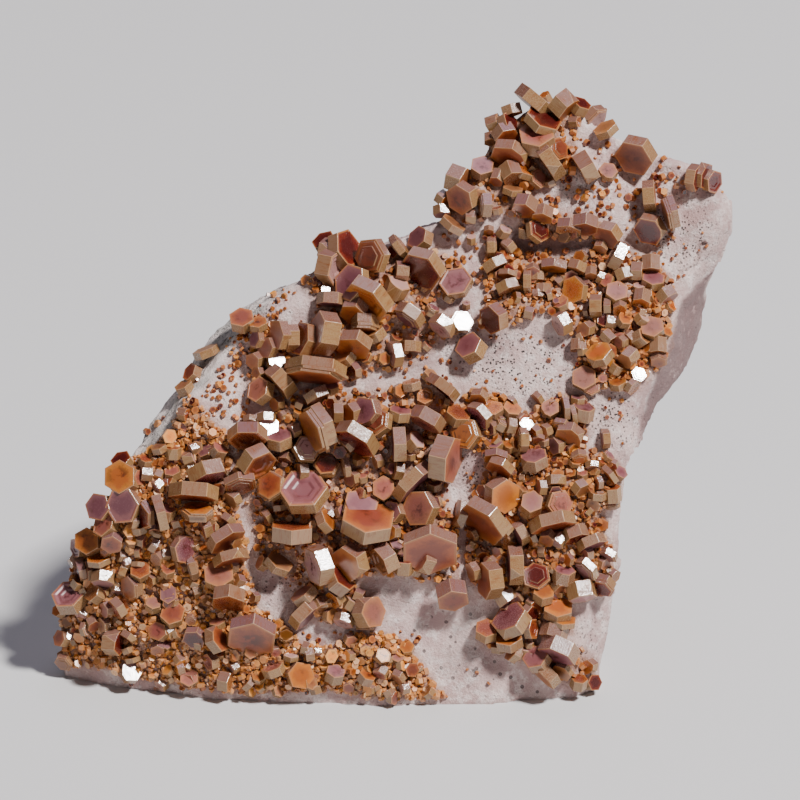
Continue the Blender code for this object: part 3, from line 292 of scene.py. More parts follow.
        (17.5, 41.6, 2.6, 1.2, 90, 50, 0, "o"), (15.3, 39.9, 4.2, 1.2, 265, 60, 0, "o"),
        (32.8, 42.8, 3, 1.2, 185, 80, 30, "p"), (33.2, 39.9, 2, 1.2, 45, 60, 0, "m"),
        (22, 49.3, 2.6, 0.9, 220, 75, 0, "t"),
    ],
    "lower_right_cluster": [
        (13.8, 12, 4.4, 1.6, 85, 50, 0, "p"), (17.8, 13.7, 6.8, 2.2, 130, 56, 0, "m"),
        (17.4, 10.6, 5, 1.7, 100, 52, 0, "o"), (15.9, 9.4, 3.4, 1.1, 95, 70, 0, "t"),
        (20.6, 14.5, 4, 1.4, 340, 55, 0, "r"), (21.9, 7.5, 4.6, 2, 125, 40, 0, "m"),
        (23.4, 5.1, 4.8, 1.8, 225, 80, 30, "t"), (25.4, 9, 6.8, 2.6, 246, 70, 30, "m"),
        (24.6, 11.9, 4.8, 2, 255, 78, 30, "t"), (26, 13.6, 4.6, 0.9, 82, 68, 0, "o"),
        (25.2, 15.4, 5, 1.8, 85, 45, 0, "o"), (18.2, 8.5, 3.6, 1.2, 150, 65, 0, "t"),
        (20.6, 9.9, 1.6, 0.9, 90, 60, 30, "w"), (20.1, 8.8, 1.5, 0.9, 80, 60, 30, "w"),
        (28.6, 3.7, 3, 1.8, 80, 55, 30, "b"), (30.3, 6.3, 2.8, 1.4, 200, 40, 0, "o"),
        (30.8, 3.7, 3, 1.5, 0, 40, 0, "r"), (26, 5.6, 3.6, 1, 235, 60, 0, "t"),
        (20.9, 12.4, 3.6, 1.2, 0, 60, 0, "b"), (21.4, 16.2, 3.2, 1.4, 330, 50, 0, "b"),
    ],
    "upper_left_cluster": [
        (21.4, 97, 6.8, 2.1, 230, 88, 30, "t"), (26.2, 96.3, 5, 2.8, 315, 75, 0, "o"),
        (23.5, 97.6, 2, 1.4, 120, 60, 0, "o"), (28.8, 95.9, 3.5, 1.8, 60, 60, 0, "r"),
        (17.9, 95.4, 3.6, 1.6, 285, 80, 0, "t"), (15, 93.4, 3, 2, 20, 70, 0, "t"),
        (17.3, 93.2, 4.2, 1.5, 30, 60, 0, "r"), (22.8, 93.6, 6.5, 1.5, 60, 62, 0, "r"),
        (16.8, 91.4, 4.5, 2, 300, 50, 0, "b"), (14.6, 90.8, 2.4, 1.5, 270, 60, 0, "t"),
        (22, 90.7, 6.2, 2.6, 100, 48, 0, "p"), (25, 89, 4.5, 2, 20, 50, 0, "b"),
        (23.9, 87.2, 7, 2.2, 215, 88, 30, "t"), (29.7, 86.2, 6.6, 2.4, 210, 88, 0, "t"),
        (17.6, 88.3, 6, 1.9, 250, 55, 0, "b"), (13.1, 86, 4.4, 1.8, 80, 35, 0, "m"),
        (9.2, 84.3, 4.8, 2.6, 340, 70, 0, "t"), (10, 81.3, 5.2, 2.2, 215, 40, 0, "b"),
        (15.6, 84.6, 2.6, 2, 250, 60, 0, "b"), (17.8, 85.3, 4, 2.6, 290, 60, 0, "t"),
        (19.8, 85.5, 3.6, 1.2, 60, 60, 0, "o"), (22, 84.3, 3.4, 1.4, 30, 40, 0, "p"),
        (13.6, 80.1, 5, 2, 180, 80, 0, "t"), (11.2, 78.2, 2.8, 1.6, 180, 85, 0, "t"),
        (6.9, 81.2, 3, 1.6, 320, 60, 0, "o"), (6.8, 79.2, 3.4, 1.5, 270, 70, 0, "w"),
        (8.4, 76.9, 4.6, 1.2, 55, 75, 0, "t"), (18, 82.5, 3.8, 1, 80, 70, 0, "t"),
        (20, 80, 4.2, 2.2, 250, 60, 0, "b"), (22.8, 78.7, 3.6, 2, 260, 60, 0, "o"),
        (22, 76, 4.8, 1.6, 30, 45, 0, "r"), (19.9, 75.8, 2.2, 1.6, 90, 70, 0, "t"),
        (27, 76.6, 4.5, 1.6, 260, 65, 0, "t"), (29.6, 77, 5, 2, 265, 65, 0, "b"),
        (33.3, 75.4, 5, 2, 235, 50, 0, "b"), (31.5, 76.5, 2, 1.5, 260, 60, 0, "t"),
        (32.2, 73.6, 2.6, 1.6, 250, 60, 0, "t"), (28, 93.5, 2, 1.5, 0, 60, 0, "o"),
    ],
    "upper_right_cluster": [
        (14.6, 73.4, 3.7, 1.8, 0, 88, 30, "t"), (17.3, 73.6, 2.8, 1.9, 225, 75, 0, "t"),
        (16.6, 75.8, 2.6, 1.4, 60, 60, 0, "w"), (15.2, 70.6, 4.2, 1.6, 298, 80, 0, "t"),
        (17.2, 67, 4.6, 1.6, 292, 75, 0, "t"), (20.4, 68, 4, 1.2, 0, 85, 30, "t"),
        (22, 68.8, 2.4, 1.4, 270, 80, 0, "t"), (22, 65.9, 2, 1.2, 270, 70, 0, "t"),
        (11.4, 74.6, 1.8, 1.2, 90, 60, 0, "w"), (14.2, 76.1, 2, 0.9, 270, 60, 0, "o"),
        (17.2, 69, 3.2, 0.9, 260, 70, 0, "o"), (24.6, 70.4, 4.4, 1.4, 265, 70, 0, "o"),
        (28.3, 70.3, 3.4, 1.5, 250, 75, 0, "t"), (15, 62, 5.6, 2, 205, 50, 0, "r"),
        (25.9, 61.2, 4.2, 1.8, 208, 70, 30, "w"), (28, 66.5, 4.4, 1.6, 170, 30, 30, "o"),
        (26.1, 68.6, 1.6, 1.2, 90, 60, 0, "t"), (26.1, 64.6, 2, 1.2, 90, 30, 0, "o"),
        (28.5, 57.7, 2.8, 1.8, 270, 75, 0, "t"), (34.9, 72.1, 5.2, 1.8, 150, 80, 30, "w"),
        (35.8, 69, 3, 1.8, 290, 75, 0, "t"), (38, 69.6, 3.2, 1.8, 0, 80, 0, "t"),
        (40.1, 70.8, 3.6, 2.4, 270, 75, 0, "t"), (40.4, 68, 3.8, 1.5, 80, 50, 0, "m"),
        (32.2, 68.6, 2.2, 1.4, 150, 70, 0, "w"), (34.6, 66, 4.2, 1.6, 80, 35, 0, "p"),
        (31.3, 64, 3.8, 1.9, 0, 85, 30, "t"), (33.2, 64, 2.6, 1.1, 0, 80, 0, "t"),
        (35.1, 63.6, 2.8, 1.2, 270, 45, 0, "o"), (38.2, 66.9, 2.2, 1, 90, 60, 0, "w"),
        (38.6, 65.2, 3.4, 2.2, 260, 60, 0, "o"), (42.6, 65.7, 4.2, 1.8, 305, 75, 0, "b"),
        (33.6, 61.5, 2.6, 1.7, 0, 80, 0, "w"), (35.8, 61.7, 3, 1.2, 60, 50, 0, "o"),
        (38.6, 61.9, 2.4, 1.4, 45, 60, 0, "w"), (40.3, 60.4, 4, 1.6, 100, 25, 0, "p"),
        (38.4, 58.9, 3.2, 2, 30, 60, 0, "t"), (42.5, 59.6, 2, 1.2, 45, 50, 0, "o"),
        (41.2, 57.6, 3.2, 2.4, 270, 75, 0, "t"), (41.2, 55.4, 3.4, 1.6, 270, 50, 0, "o"),
        (33.3, 58.9, 2.6, 2, 315, 70, 0, "t"), (35.3, 58.3, 2.4, 1.6, 200, 50, 0, "p"),
        (29.7, 60.3, 2.8, 1.6, 200, 40, 0, "o"), (31.9, 56.2, 4.8, 1.6, 120, 50, 0, "o"),
        (36.5, 55.8, 3.4, 2.2, 225, 60, 0, "t"), (34.5, 54, 2.2, 1.6, 60, 70, 0, "t"),
        (38, 52.9, 2.8, 1.8, 45, 50, 0, "w"), (29.4, 52.4, 4, 1.2, 90, 20, 0, "p"),
        (30.6, 51, 3, 1, 90, 20, 0, "p"), (34.8, 51.5, 3, 1.2, 100, 55, 0, "o"),
        (37.1, 51.2, 3.4, 1, 320, 70, 0, "t"), (30.5, 69.3, 2.2, 1.4, 270, 60, 0, "t"),
    ],
}

# Crystals that stand on bare rock, alone or grown into one another.
LONE_CRYSTALS: dict[str, list[Crystal]] = {
    "middle_lone_crystal": [(11.4, 57.2, 5, 2.2, 135, 52, 0, "m")],
    "top_lone_crystals": [
        (31.2, 94.2, 4.4, 1.8, 315, 65, 30, "w"), (33, 92.2, 4, 1.3, 120, 60, 0, "t"),
    ],
    "big_stepped_crystal": [(37.8, 88.2, 6.6, 2.6, 235, 40, 0, "b")],
    "upper_pink_crystal": [(33.3, 85.4, 3.2, 1.2, 80, 30, 30, "p")],
    "upright_crystal": [(39.9, 81.6, 4.9, 1.9, 5, 85, 30, "t")],
    "leaning_pale_crystal": [(43.2, 79, 6.5, 1.8, 195, 85, 0, "t")],
    "dark_red_crystal": [(40, 76.3, 5, 2, 235, 35, 0, "r")],
    "top_right_trio": [
        (47, 84.6, 4.4, 1.6, 350, 70, 30, "r"), (48.6, 84.9, 4.4, 1.2, 345, 65, 0, "r"),
        (50, 84, 4.4, 1.2, 345, 55, 0, "r"),
    ],
    "left_slope_large_crystal": [(-25.2, 61.6, 4.2, 2.2, 100, 35, 0, "b")],
    "left_slope_blade": [(-31, 56.6, 4.6, 1.3, 112, 80, 30, "t")],
    "left_slope_lower_crystals": [
        (-33.2, 53.2, 3.2, 1.5, 150, 60, 0, "b"), (-34.4, 50.9, 3.6, 1.4, 120, 70, 0, "t"),
    ],
}


@dataclass(frozen=True)
class Skin:
    """Looks of a crystal's flat ends, with the letter that stands for them in the lists."""

    code: str
    middle: Colour
    outer: Colour
    # How far frost covers them, from 0 to 1.
    frost: float
    least_polish: float


class Tint(Enum):
    """Colours that crystals have; the pale one is a painted highlight."""

    MAUVE = Skin("m", (0.14, 0.032, 0.042), (0.23, 0.080, 0.080), 1.0, 0.0)
    RED = Skin("r", (0.060, 0.004, 0.003), (0.135, 0.017, 0.007), 0.1, 0.65)
    RUST = Skin("b", (0.17, 0.028, 0.006), (0.32, 0.080, 0.016), 0.3, 0.3)
    AMBER = Skin("o", (0.29, 0.068, 0.005), (0.42, 0.130, 0.015), 0.25, 0.3)
    PINK = Skin("p", (0.25, 0.064, 0.040), (0.36, 0.120, 0.055), 0.75, 0.0)
    # Painted highlight: this pale end colour stands in for the flash of the main light, which these crystals
    # are also turned to mirror.
    PAINTED_FLASH = Skin("w", (0.42, 0.23, 0.20), (0.50, 0.30, 0.23), 1.0, 1.0)
    TAN = Skin("t", (0.24, 0.082, 0.022), (0.35, 0.145, 0.044), 0.5, 0.1)
    HONEY = Skin("h", (0.66, 0.225, 0.030), (0.72, 0.32, 0.075), 0.2, 0.0)
    SAND = Skin("s", (0.60, 0.30, 0.13), (0.68, 0.40, 0.21), 0.4, 0.0)


TINTS: dict[str, Tint] = {tint.value.code: tint for tint in Tint}


class FaceFrame:
    """Turns face coordinates in millimetres into the object's own axes in metres."""

    def __init__(self, lean: float) -> None:
        """Sets up the three directions.

        Args:
            lean: How far the face leans back, in radians.
        """
        self.right = Vector((1, 0, 0))
        self.up = Vector((0, math.sin(lean), math.cos(lean)))
        self.out = Vector((0, -math.cos(lean), math.sin(lean)))
        self.shift = Vector((-BOX_CENTRE_X_MM, -BOX_CENTRE_Y_MM, 0))

    def place(self, u: float, v: float, w: float) -> Vector:
        """Returns the point at these face coordinates, in metres."""
        return (self.right * u + self.up * v + self.out * w + self.shift) * MM

    def direction(self, turn: float, lean: float) -> Vector:
        """Returns the unit vector that leans from the outward direction, towards turn.

        Args:
            turn: Which way it leans, anticlockwise from the face's right, in radians.
            lean: How far it leans, in radians.

        Returns:
            The direction, of length 1.
        """
        flat = math.sin(lean)
        along_right = self.right * flat * math.cos(turn)
        along_up = self.up * flat * math.sin(turn)
        return (along_right + along_up + self.out * math.cos(lean)).normalized()

    def coordinates(self, points: np.ndarray) -> np.ndarray:
        """Returns the (u, v, w) of points given in metres, one row each."""
        axes = np.array([self.right, self.up, self.out])
        return (points / MM - np.array(self.shift)) @ axes.T


FACE = FaceFrame(FACE_LEAN)
# Where the main light stands, seen from the display face, and the direction that mirrors it.
LIGHT_WAY = (FACE.right * 0.46 + FACE.up * 0.60 + FACE.out * 0.66).normalized()
MIRROR_WAY = (LIGHT_WAY + FACE.out).normalized()


# ---- shader tools


class Signal:
    """A number that varies over a surface, with arithmetic that adds Math nodes."""

    def __init__(self, recipe: Recipe, socket: bpy.types.NodeSocket) -> None:
        """Wraps a socket of the recipe's node tree.

        Args:
            recipe: The material that the socket belongs to.
            socket: The output that carries the number.
        """
        self.recipe = recipe
        self.socket = socket

    def _math(self, operation: str, *values: Signal | float) -> Signal:
        """Returns the result of a Math node on these values."""
        made = self.recipe.node("ShaderNodeMath", {"operation": operation}, dict(enumerate(values)))
        return Signal(self.recipe, made.outputs[0])

    def __add__(self, other: Signal | float) -> Signal:
        """Returns the sum."""
        return self._math("ADD", self, other)

    def __sub__(self, other: Signal | float) -> Signal:
        """Returns the difference."""
        return self._math("SUBTRACT", self, other)

    def __rsub__(self, other: float) -> Signal:
        """Returns the number less this signal."""
        return self._math("SUBTRACT", other, self)

    def __mul__(self, other: Signal | float) -> Signal:
        """Returns the product."""
        return self._math("MULTIPLY", self, other)

    __radd__ = __add__
    __rmul__ = __mul__

    def size(self) -> Signal:
        """Returns the signal without its sign."""
        return self._math("ABSOLUTE", self)

    def most(self, other: Signal | float) -> Signal:
        """Returns whichever is greater."""
        return self._math("MAXIMUM", self, other)

    def least(self, other: Signal | float) -> Signal:
        """Returns whichever is smaller."""
        return self._math("MINIMUM", self, other)

    def rise(self, start: float, end: float, share: float = 1.0) -> Signal:
        """Returns 0 below start, share above end, and a smooth rise between.

        Args:
            start: Where it leaves 0. Where this is over end, it falls in place of rising.
            end: Where it reaches its share.
            share: How high it gets.

        Returns:
            The smooth step.
        """
        settings = {"interpolation_type": "SMOOTHSTEP"}
        made = self.recipe.node("ShaderNodeMapRange", settings, {0: self, 1: start, 2: end, 3: 0.0, 4: 1.0})
        step = Signal(self.recipe, made.outputs[0])
        return step if share == 1.0 else step * share


class Recipe:
    """A material under construction."""

    MIX_FACTOR, MIX_A, MIX_B, MIX_RESULT = 0, 6, 7, 2

    def __init__(self, name: str) -> None:
        """Starts a material with a Principled BSDF.

        Args:
            name: The material's name.
        """
        self.material = bpy.data.materials.new(name)
        self.material.use_nodes = True
        self.tree = self.material.node_tree
        self.surface = self.tree.nodes["Principled BSDF"]

    def node(self, kind: str, settings: dict, inputs: dict) -> bpy.types.Node:
        """Adds a node.

        Args:
            kind: The node's type.
            settings: Its properties, which are set first.
            inputs: A value, a socket or a Signal for each of its inputs, by name or number.

        Returns:
            The node.
        """
        made = self.tree.nodes.new(kind)
        for key, value in settings.items():
            setattr(made, key, value)
        for key, value in inputs.items():
            self.feed(made.inputs[key], value)
        return made

    def feed(self, target: bpy.types.NodeSocket, value: object) -> None:
        """Links a Signal or a socket to an input, or sets a plain value on it.

        Args:
            target: The input.
            value: What it gets.
        """
        if isinstance(value, Signal):
            value = value.socket
        if isinstance(value, bpy.types.NodeSocket):
            self.tree.links.new(value, target)
        elif isinstance(value, tuple) and target.type == "RGBA":
            target.default_value = (*value[:3], 1.0)
        else:
            target.default_value = value

    def attribute(self, name: str) -> bpy.types.Node:
        """Returns a node that reads one of the mesh's attributes."""
        return self.node("ShaderNodeAttribute", {"attribute_name": name}, {})

    def number(self, name: str) -> Signal:
        """Returns an attribute that holds one number."""
        return Signal(self, self.attribute(name).outputs["Fac"])

    def where(
        self, grain_mm: Point3 = (1.0, 1.0, 1.0), turn: Point3 = (0.0, 0.0, 0.0)
    ) -> bpy.types.NodeSocket:
        """Returns the place on the object, in units of grain_mm along axes that are turned.

        Args:
            grain_mm: The size of one unit along each axis.
            turn: How far the axes are turned, in radians.

        Returns:
            The place, for a texture to read.
        """
        place = self.node("ShaderNodeTexCoord", {}, {}).outputs["Object"]
        inputs = {"Vector": place, "Rotation": turn, "Scale": [part * MM for part in grain_mm]}
        return self.node("ShaderNodeMapping", {"vector_type": "TEXTURE"}, inputs).outputs[0]

    def noise(self, place: object, scale: float, detail: float = 2.0, rough: float = 0.5) -> Signal:
        """Returns noise from 0 to 1 with features about 1/scale wide."""
        inputs = {"Vector": place, "Scale": scale, "Detail": detail, "Roughness": rough}
        return Signal(self, self.node("ShaderNodeTexNoise", {}, inputs).outputs["Fac"])

    def cells(self, place: object, scale: float) -> Signal:
        """Returns the distance to the nearest of the points strewn 1/scale apart."""
        made = self.node("ShaderNodeTexVoronoi", {}, {"Vector": place, "Scale": scale})
        return Signal(self, made.outputs["Distance"])

    def mix(self, low: object, high: object, share: Signal | float) -> bpy.types.NodeSocket:
        """Returns a colour between low, at 0, and high, at 1."""
        inputs = {self.MIX_FACTOR: share, self.MIX_A: low, self.MIX_B: high}
        return self.node("ShaderNodeMix", {"data_type": "RGBA"}, inputs).outputs[self.MIX_RESULT]

    def bump(self, height: Signal, depth_mm: float) -> bpy.types.NodeSocket:
        """Returns normals that show this height, from 0 to 1, as relief of this depth."""
        inputs = {"Strength": 1.0, "Distance": depth_mm * MM, "Height": height}
        return self.node("ShaderNodeBump", {}, inputs).outputs[0]

    def finish(self, inputs: dict) -> bpy.types.Material:
        """Feeds the Principled BSDF.

        Args:
            inputs: What each of its inputs gets, by name.

        Returns:
            The finished material.
        """
        for key, value in inputs.items():
            self.feed(self.surface.inputs[key], value)
        return self.material


@dataclass(frozen=True)
class BariteFinish:
    """Chalky barite: pale and faintly pink, speckled, stained rust-brown where crystals grow, with painted
    shade under ledges and crystals and on the broken right side.

    A noise is (features in a millimetre, finer layers, their roughness). A band is (the value at
    which something starts to show, the value at which it shows most, how much shows then).
    """

    pale: Colour = (0.67, 0.51, 0.48)
    pink: Colour = (0.50, 0.335, 0.32)
    white: Colour = (0.82, 0.71, 0.68)
    grey: Colour = (0.46, 0.425, 0.40)
    streak: Colour = (0.075, 0.065, 0.06)
    # Painted shade: the colour laid where shade falls, under ledges and crystals and on the broken right
    # side.
    shade: Colour = (0.175, 0.105, 0.103)
    rust: Colour = (0.26, 0.095, 0.032)
    amber: Colour = (0.44, 0.205, 0.075)
    speck: Colour = (0.035, 0.03, 0.03)
    roughness: float = 0.88
    broad_noise: Noise = (0.16, 3.0)
    patch_noise: Noise = (0.45, 6.0, 0.68)
    grain_noise: Noise = (2.4, 4.0, 0.7)
    pale_band: Point = (0.36, 0.60)
    white_band: Point3 = (0.46, 0.62, 0.75)
    pink_band: Point3 = (0.48, 0.66, 0.6)
    painted_shade_band: Point = (0.22, 0.46)
    painted_shade_share: float = 0.9
    # Pits and grain in relief.
    pits_per_mm: float = 1.1
    pit_band: Point = (0.30, 0.12)
    pitted_band: Point = (0.45, 0.65)
    pit_relief: float = 0.5
    grain_relief: float = 0.8
    patch_relief: float = 0.4
    relief_mm: float = 0.45
    # The weathered side, with streaks that run along the crest.
    streak_size_mm: Point3 = (2.4, 0.7, 0.55)
    crest_turn: float = math.radians(-51.0)
    streak_noise: Noise = (1.0, 4.0, 0.7)
    streak_band: Point3 = (0.54, 0.66, 0.85)
    dust_noise: Noise = (0.3, 3.0)
    dust_band: Point3 = (0.38, 0.58, 0.7)
    # The stained ground between crystals.
    crumbs_per_mm: float = 1.5
    crumb_band: Point = (0.15, 0.5)
    stain_noise: Noise = (0.45, 2.0)
    stain_band: Point = (0.26, 0.50)
    stain_least: float = 0.35
    stain_grain: float = 0.8
    # Black specks, and the larger dots.
    specks_per_mm: float = 1.9
    speck_band: Point = (0.38, 0.26)
    speck_noise: Noise = (0.8, 2.0)
    dots_per_mm: float = 0.6
    dot_band: Point = (0.22, 0.17)
    dot_noise: Noise = (0.25,)
    dot_share: float = 0.75
    group_band: Point = (0.42, 0.50)

    def build(self) -> bpy.types.Material:
        """Makes the material, which reads the slab's own attributes for where each zone lies.

        Returns:
            The material.
        """
        recipe = Recipe("barite")
        plain = recipe.where()
        broad = recipe.noise(plain, *self.broad_noise)
        patch = recipe.noise(plain, *self.patch_noise)
        grain = recipe.noise(plain, *self.grain_noise)
        colour = recipe.mix(self.pink, self.pale, broad.rise(*self.pale_band))
        colour = recipe.mix(colour, self.white, patch.rise(*self.white_band))
        colour = recipe.mix(colour, self.pink, grain.rise(*self.pink_band))
        # Painted shade, laid where the slab's shade attribute puts it.
        shaded = recipe.number("shade") * patch.rise(*self.painted_shade_band) * self.painted_shade_share
        colour = recipe.mix(colour, self.shade, shaded)
        colour = recipe.mix(colour, *self.slope(recipe))
        colour = recipe.mix(colour, *self.stain(recipe, plain, grain))
        colour = recipe.mix(colour, self.speck, self.specks(recipe, plain))
        pits = recipe.cells(plain, self.pits_per_mm).rise(*self.pit_band) * patch.rise(*self.pitted_band)
        height = grain * self.grain_relief + patch * self.patch_relief - pits * self.pit_relief
        normal = recipe.bump(height, self.relief_mm)
        return recipe.finish({"Base Color": colour, "Roughness": self.roughness, "Normal": normal})

    def slope(self, recipe: Recipe) -> tuple[bpy.types.NodeSocket, Signal]:
        """Returns the colour of the grey weathered side, with dark streaks, and where it lies.

        Args:
            recipe: The material.

        Returns:
            The colour, and how much of it shows.
        """
        drawn = recipe.where(self.streak_size_mm, (0.0, self.crest_turn, 0.0))
        streaks = recipe.noise(drawn, *self.streak_noise).rise(*self.streak_band)
        dusty = recipe.noise(drawn, *self.dust_noise)
        colour = recipe.mix(self.grey, self.white, dusty.rise(*self.dust_band))
        return recipe.mix(colour, self.streak, streaks), recipe.number("weathered")

    def stain(
        self, recipe: Recipe, plain: object, grain: Signal
    ) -> tuple[bpy.types.NodeSocket, Signal]:
        """Returns the rusty colour of the ground between crystals, and how much of it shows.

        Args:
            recipe: The material.
            plain: The place on the rock.
            grain: Fine noise.

        Returns:
            The colour, and how much of it shows.
        """
        crumbs = recipe.cells(plain, self.crumbs_per_mm)
        colour = recipe.mix(self.amber, self.rust, crumbs.rise(*self.crumb_band))
        share = recipe.number("stained") * recipe.noise(plain, *self.stain_noise).rise(*self.stain_band)
        return colour, share * (self.stain_least + grain * self.stain_grain)

    def specks(self, recipe: Recipe, plain: object) -> Signal:
        """Returns where black specks and dots lie.

        Args:
            recipe: The material.
            plain: The place on the rock.

        Returns:
            1 on a speck and 0 off it.
        """
        number = recipe.number("specked")
        small = recipe.cells(plain, self.specks_per_mm).rise(*self.speck_band)
        small = small * recipe.noise(plain, *self.speck_noise).rise(*self.group_band)
        dots = recipe.cells(plain, self.dots_per_mm).rise(*self.dot_band)
        dots = dots * recipe.noise(plain, *self.dot_noise).rise(*self.group_band)
        return (small * number).most(dots * recipe.number("dotted") * self.dot_share)


@dataclass(frozen=True)
class VanadiniteFinish:
    """Vanadinite: resinous tablets with frosted, zoned ends and striated khaki sides.

    Bands are as those of the barite. A crystal's own noise is (features across it each way, layers).
    """

    side: Colour = (0.295, 0.166, 0.068)
    side_deep: Colour = (0.20, 0.054, 0.012)
    # Also the colour of the painted sheen on sides that look up.
    side_mauve: Colour = (0.180, 0.086, 0.088)
    rim: Colour = (0.42, 0.150, 0.042)
    edge: Colour = (0.54, 0.33, 0.18)
    # Also the colour of the painted sheen on ends that look up.
    frost: Colour = (0.29, 0.132, 0.128)
    deep: Colour = (0.055, 0.006, 0.003)
    edge_share: float = 0.65
    striae_mm: float = 0.04
    index: float = 1.75
    striae: tuple[Point3, float] = ((22.0, 22.0, 1.2), 3.0)
    blotches: tuple[Point3, float] = ((3.2, 3.2, 1.0), 5.0)
    own_roughness: float = 0.7
    # How far apart in the noise the crystals lie.
    luck_reach: float = 60.0
    grain_noise: Noise = (4.0, 3.0, 0.7)
    # Relief that is added to the striae.
    blotch_relief: float = 0.5
    grain_relief: float = 0.25
    # Roughness of a side, what adds to it, and the share that polish takes off.
    roughness: float = 0.24
    end_roughness: float = 0.14
    grain_band: Point3 = (0.4, 0.8, 0.14)
    striae_roughness: float = 0.06
    polish_share: float = 0.72
    # Sides: what looks up gets a painted mauve sheen of the light from above, and a few crystals are mauve
    # all round.
    upward_band: Point = (0.30, 0.80)
    side_sheen_share: float = 0.75
    mauve_luck: Point3 = (0.60, 1.0, 0.25)
    striae_band: Point3 = (0.48, 0.66, 0.5)
    blotch_band: Point3 = (0.54, 0.7, 0.5)
    # Flat ends: the outer zone, its uneven edge, and dark blotches that fade outwards.
    zone_band: Point = (0.40, 0.95)
    zone_waver: float = 1.6
    dark_band: Point = (0.50, 0.62)
    dark_fade: float = 0.75
    dark_luck: Point = (0.0, 0.6)
    # Frost in patches, and on what looks up a painted lilac sheen of the light from above, in the frost's
    # colour. Both keep off the blotches.
    patch_band: Point = (0.48, 0.70)
    patch_gap: Point = (0.60, 0.42)
    patch_share: float = 0.6
    end_sheen_gap: Point = (0.62, 0.44)
    end_sheen_share: float = 0.35
    rim_band: Point3 = (0.87, 0.93, 0.75)

    def build(self) -> bpy.types.Material:
        """Makes the material, which reads each crystal's own attributes.

        Returns:
            The material.
        """
        recipe = Recipe("vanadinite")
        local = recipe.attribute("crystal").outputs["Vector"]
        luck = recipe.number("luck")
        flat_end = recipe.number("flat_end")
        lines = self.own_noise(recipe, local, luck, *self.striae)
        blotch = self.own_noise(recipe, local, luck, *self.blotches)
        grain = recipe.noise(recipe.where(), *self.grain_noise)
        side = self.side_colour(recipe, lines, blotch)
        end = self.end_colour(recipe, self.hexagon(recipe, local), blotch, grain)
        colour = recipe.mix(side, end, flat_end)
        # The bevels on the outer edges are drawn as pale lines.
        colour = recipe.mix(colour, self.edge, recipe.number("worn") * self.edge_share)
        rough = self.roughness + flat_end * self.end_roughness
        rough = rough + grain.rise(*self.grain_band) + lines * self.striae_roughness
        rough = rough * (1.0 - recipe.number("polish") * self.polish_share)
        height = lines * (1.0 - flat_end) + blotch * self.blotch_relief + grain * self.grain_relief
        normal = recipe.bump(height, self.striae_mm)
        return recipe.finish({"Base Color": colour, "Roughness": rough, "Normal": normal, "IOR": self.index})

    def side_colour(self, recipe: Recipe, lines: Signal, blotch: Signal) -> bpy.types.NodeSocket:
        """Colours the sides: khaki, mauve where they look up as a painted sheen of the light from above,
        with darker striae and blotches.

        Args:
            recipe: The material.
            lines: Noise drawn out along the crystal's axis.
            blotch: Broad noise.

        Returns:
            The colour.
        """
        # Painted sheen: sides that look up turn mauve, as the light from above would make them look; a few
        # crystals are mauve all round.
        sheen_and_mauve = recipe.number("upward").rise(*self.upward_band) * self.side_sheen_share
        sheen_and_mauve = sheen_and_mauve + recipe.number("luck").rise(*self.mauve_luck)
        colour = recipe.mix(self.side, self.side_mauve, sheen_and_mauve)
        deep = lines.rise(*self.striae_band) + blotch.rise(*self.blotch_band)
        return recipe.mix(colour, self.side_deep, deep)

    def end_colour(
        self, recipe: Recipe, reach: Signal, blotch: Signal, grain: Signal
    ) -> bpy.types.NodeSocket:
        """Colours the flat ends: two zones, dark blotches, frost, a painted sheen where they look up, and an
        orange rim.

        Args:
            recipe: The material.
            reach: How far out the place is, from 0 to 1.
            blotch: Broad noise.
            grain: Fine noise.

        Returns:
            The colour.
        """
        colour = recipe.mix(
            recipe.attribute("middle").outputs["Color"],
            recipe.attribute("outer").outputs["Color"],
            (reach + (blotch - 0.5) * self.zone_waver).rise(*self.zone_band),
        )
        dark = blotch.rise(*self.dark_band) * (1.0 - reach * self.dark_fade)
        dark = dark * recipe.number("luck").rise(*self.dark_luck)
        colour = recipe.mix(colour, self.deep, dark)
        patches = grain.rise(*self.patch_band) * blotch.rise(*self.patch_gap) * self.patch_share
        # Painted sheen: ends that look up take the frost colour, as the light from above would make them
        # look.
        painted_sheen = recipe.number("upward").rise(*self.upward_band) * blotch.rise(*self.end_sheen_gap)
        painted_sheen = painted_sheen * self.end_sheen_share
        colour = recipe.mix(colour, self.frost, patches.most(painted_sheen) * recipe.number("frosted"))
        return recipe.mix(colour, self.rim, reach.rise(*self.rim_band))

    def hexagon(self, recipe: Recipe, local: object) -> Signal:
        """Returns how far out a point lies on its tablet: 0 at the middle and 1 at the sides.

        Args:
            recipe: The material.
            local: The place on the tablet.

        Returns:
            The distance from the axis, over that of the side.
        """
        reach: Signal | None = None
        for angle in (0, 60, 120):
            way = (math.cos(math.radians(angle)), math.sin(math.radians(angle)), 0.0)
            made = recipe.node("ShaderNodeVectorMath", {"operation": "DOT_PRODUCT"}, {0: local, 1: way})
            distance = Signal(recipe, made.outputs["Value"]).size()
            reach = distance if reach is None else reach.most(distance)
        return reach * (2.0 / math.cos(math.radians(30)))

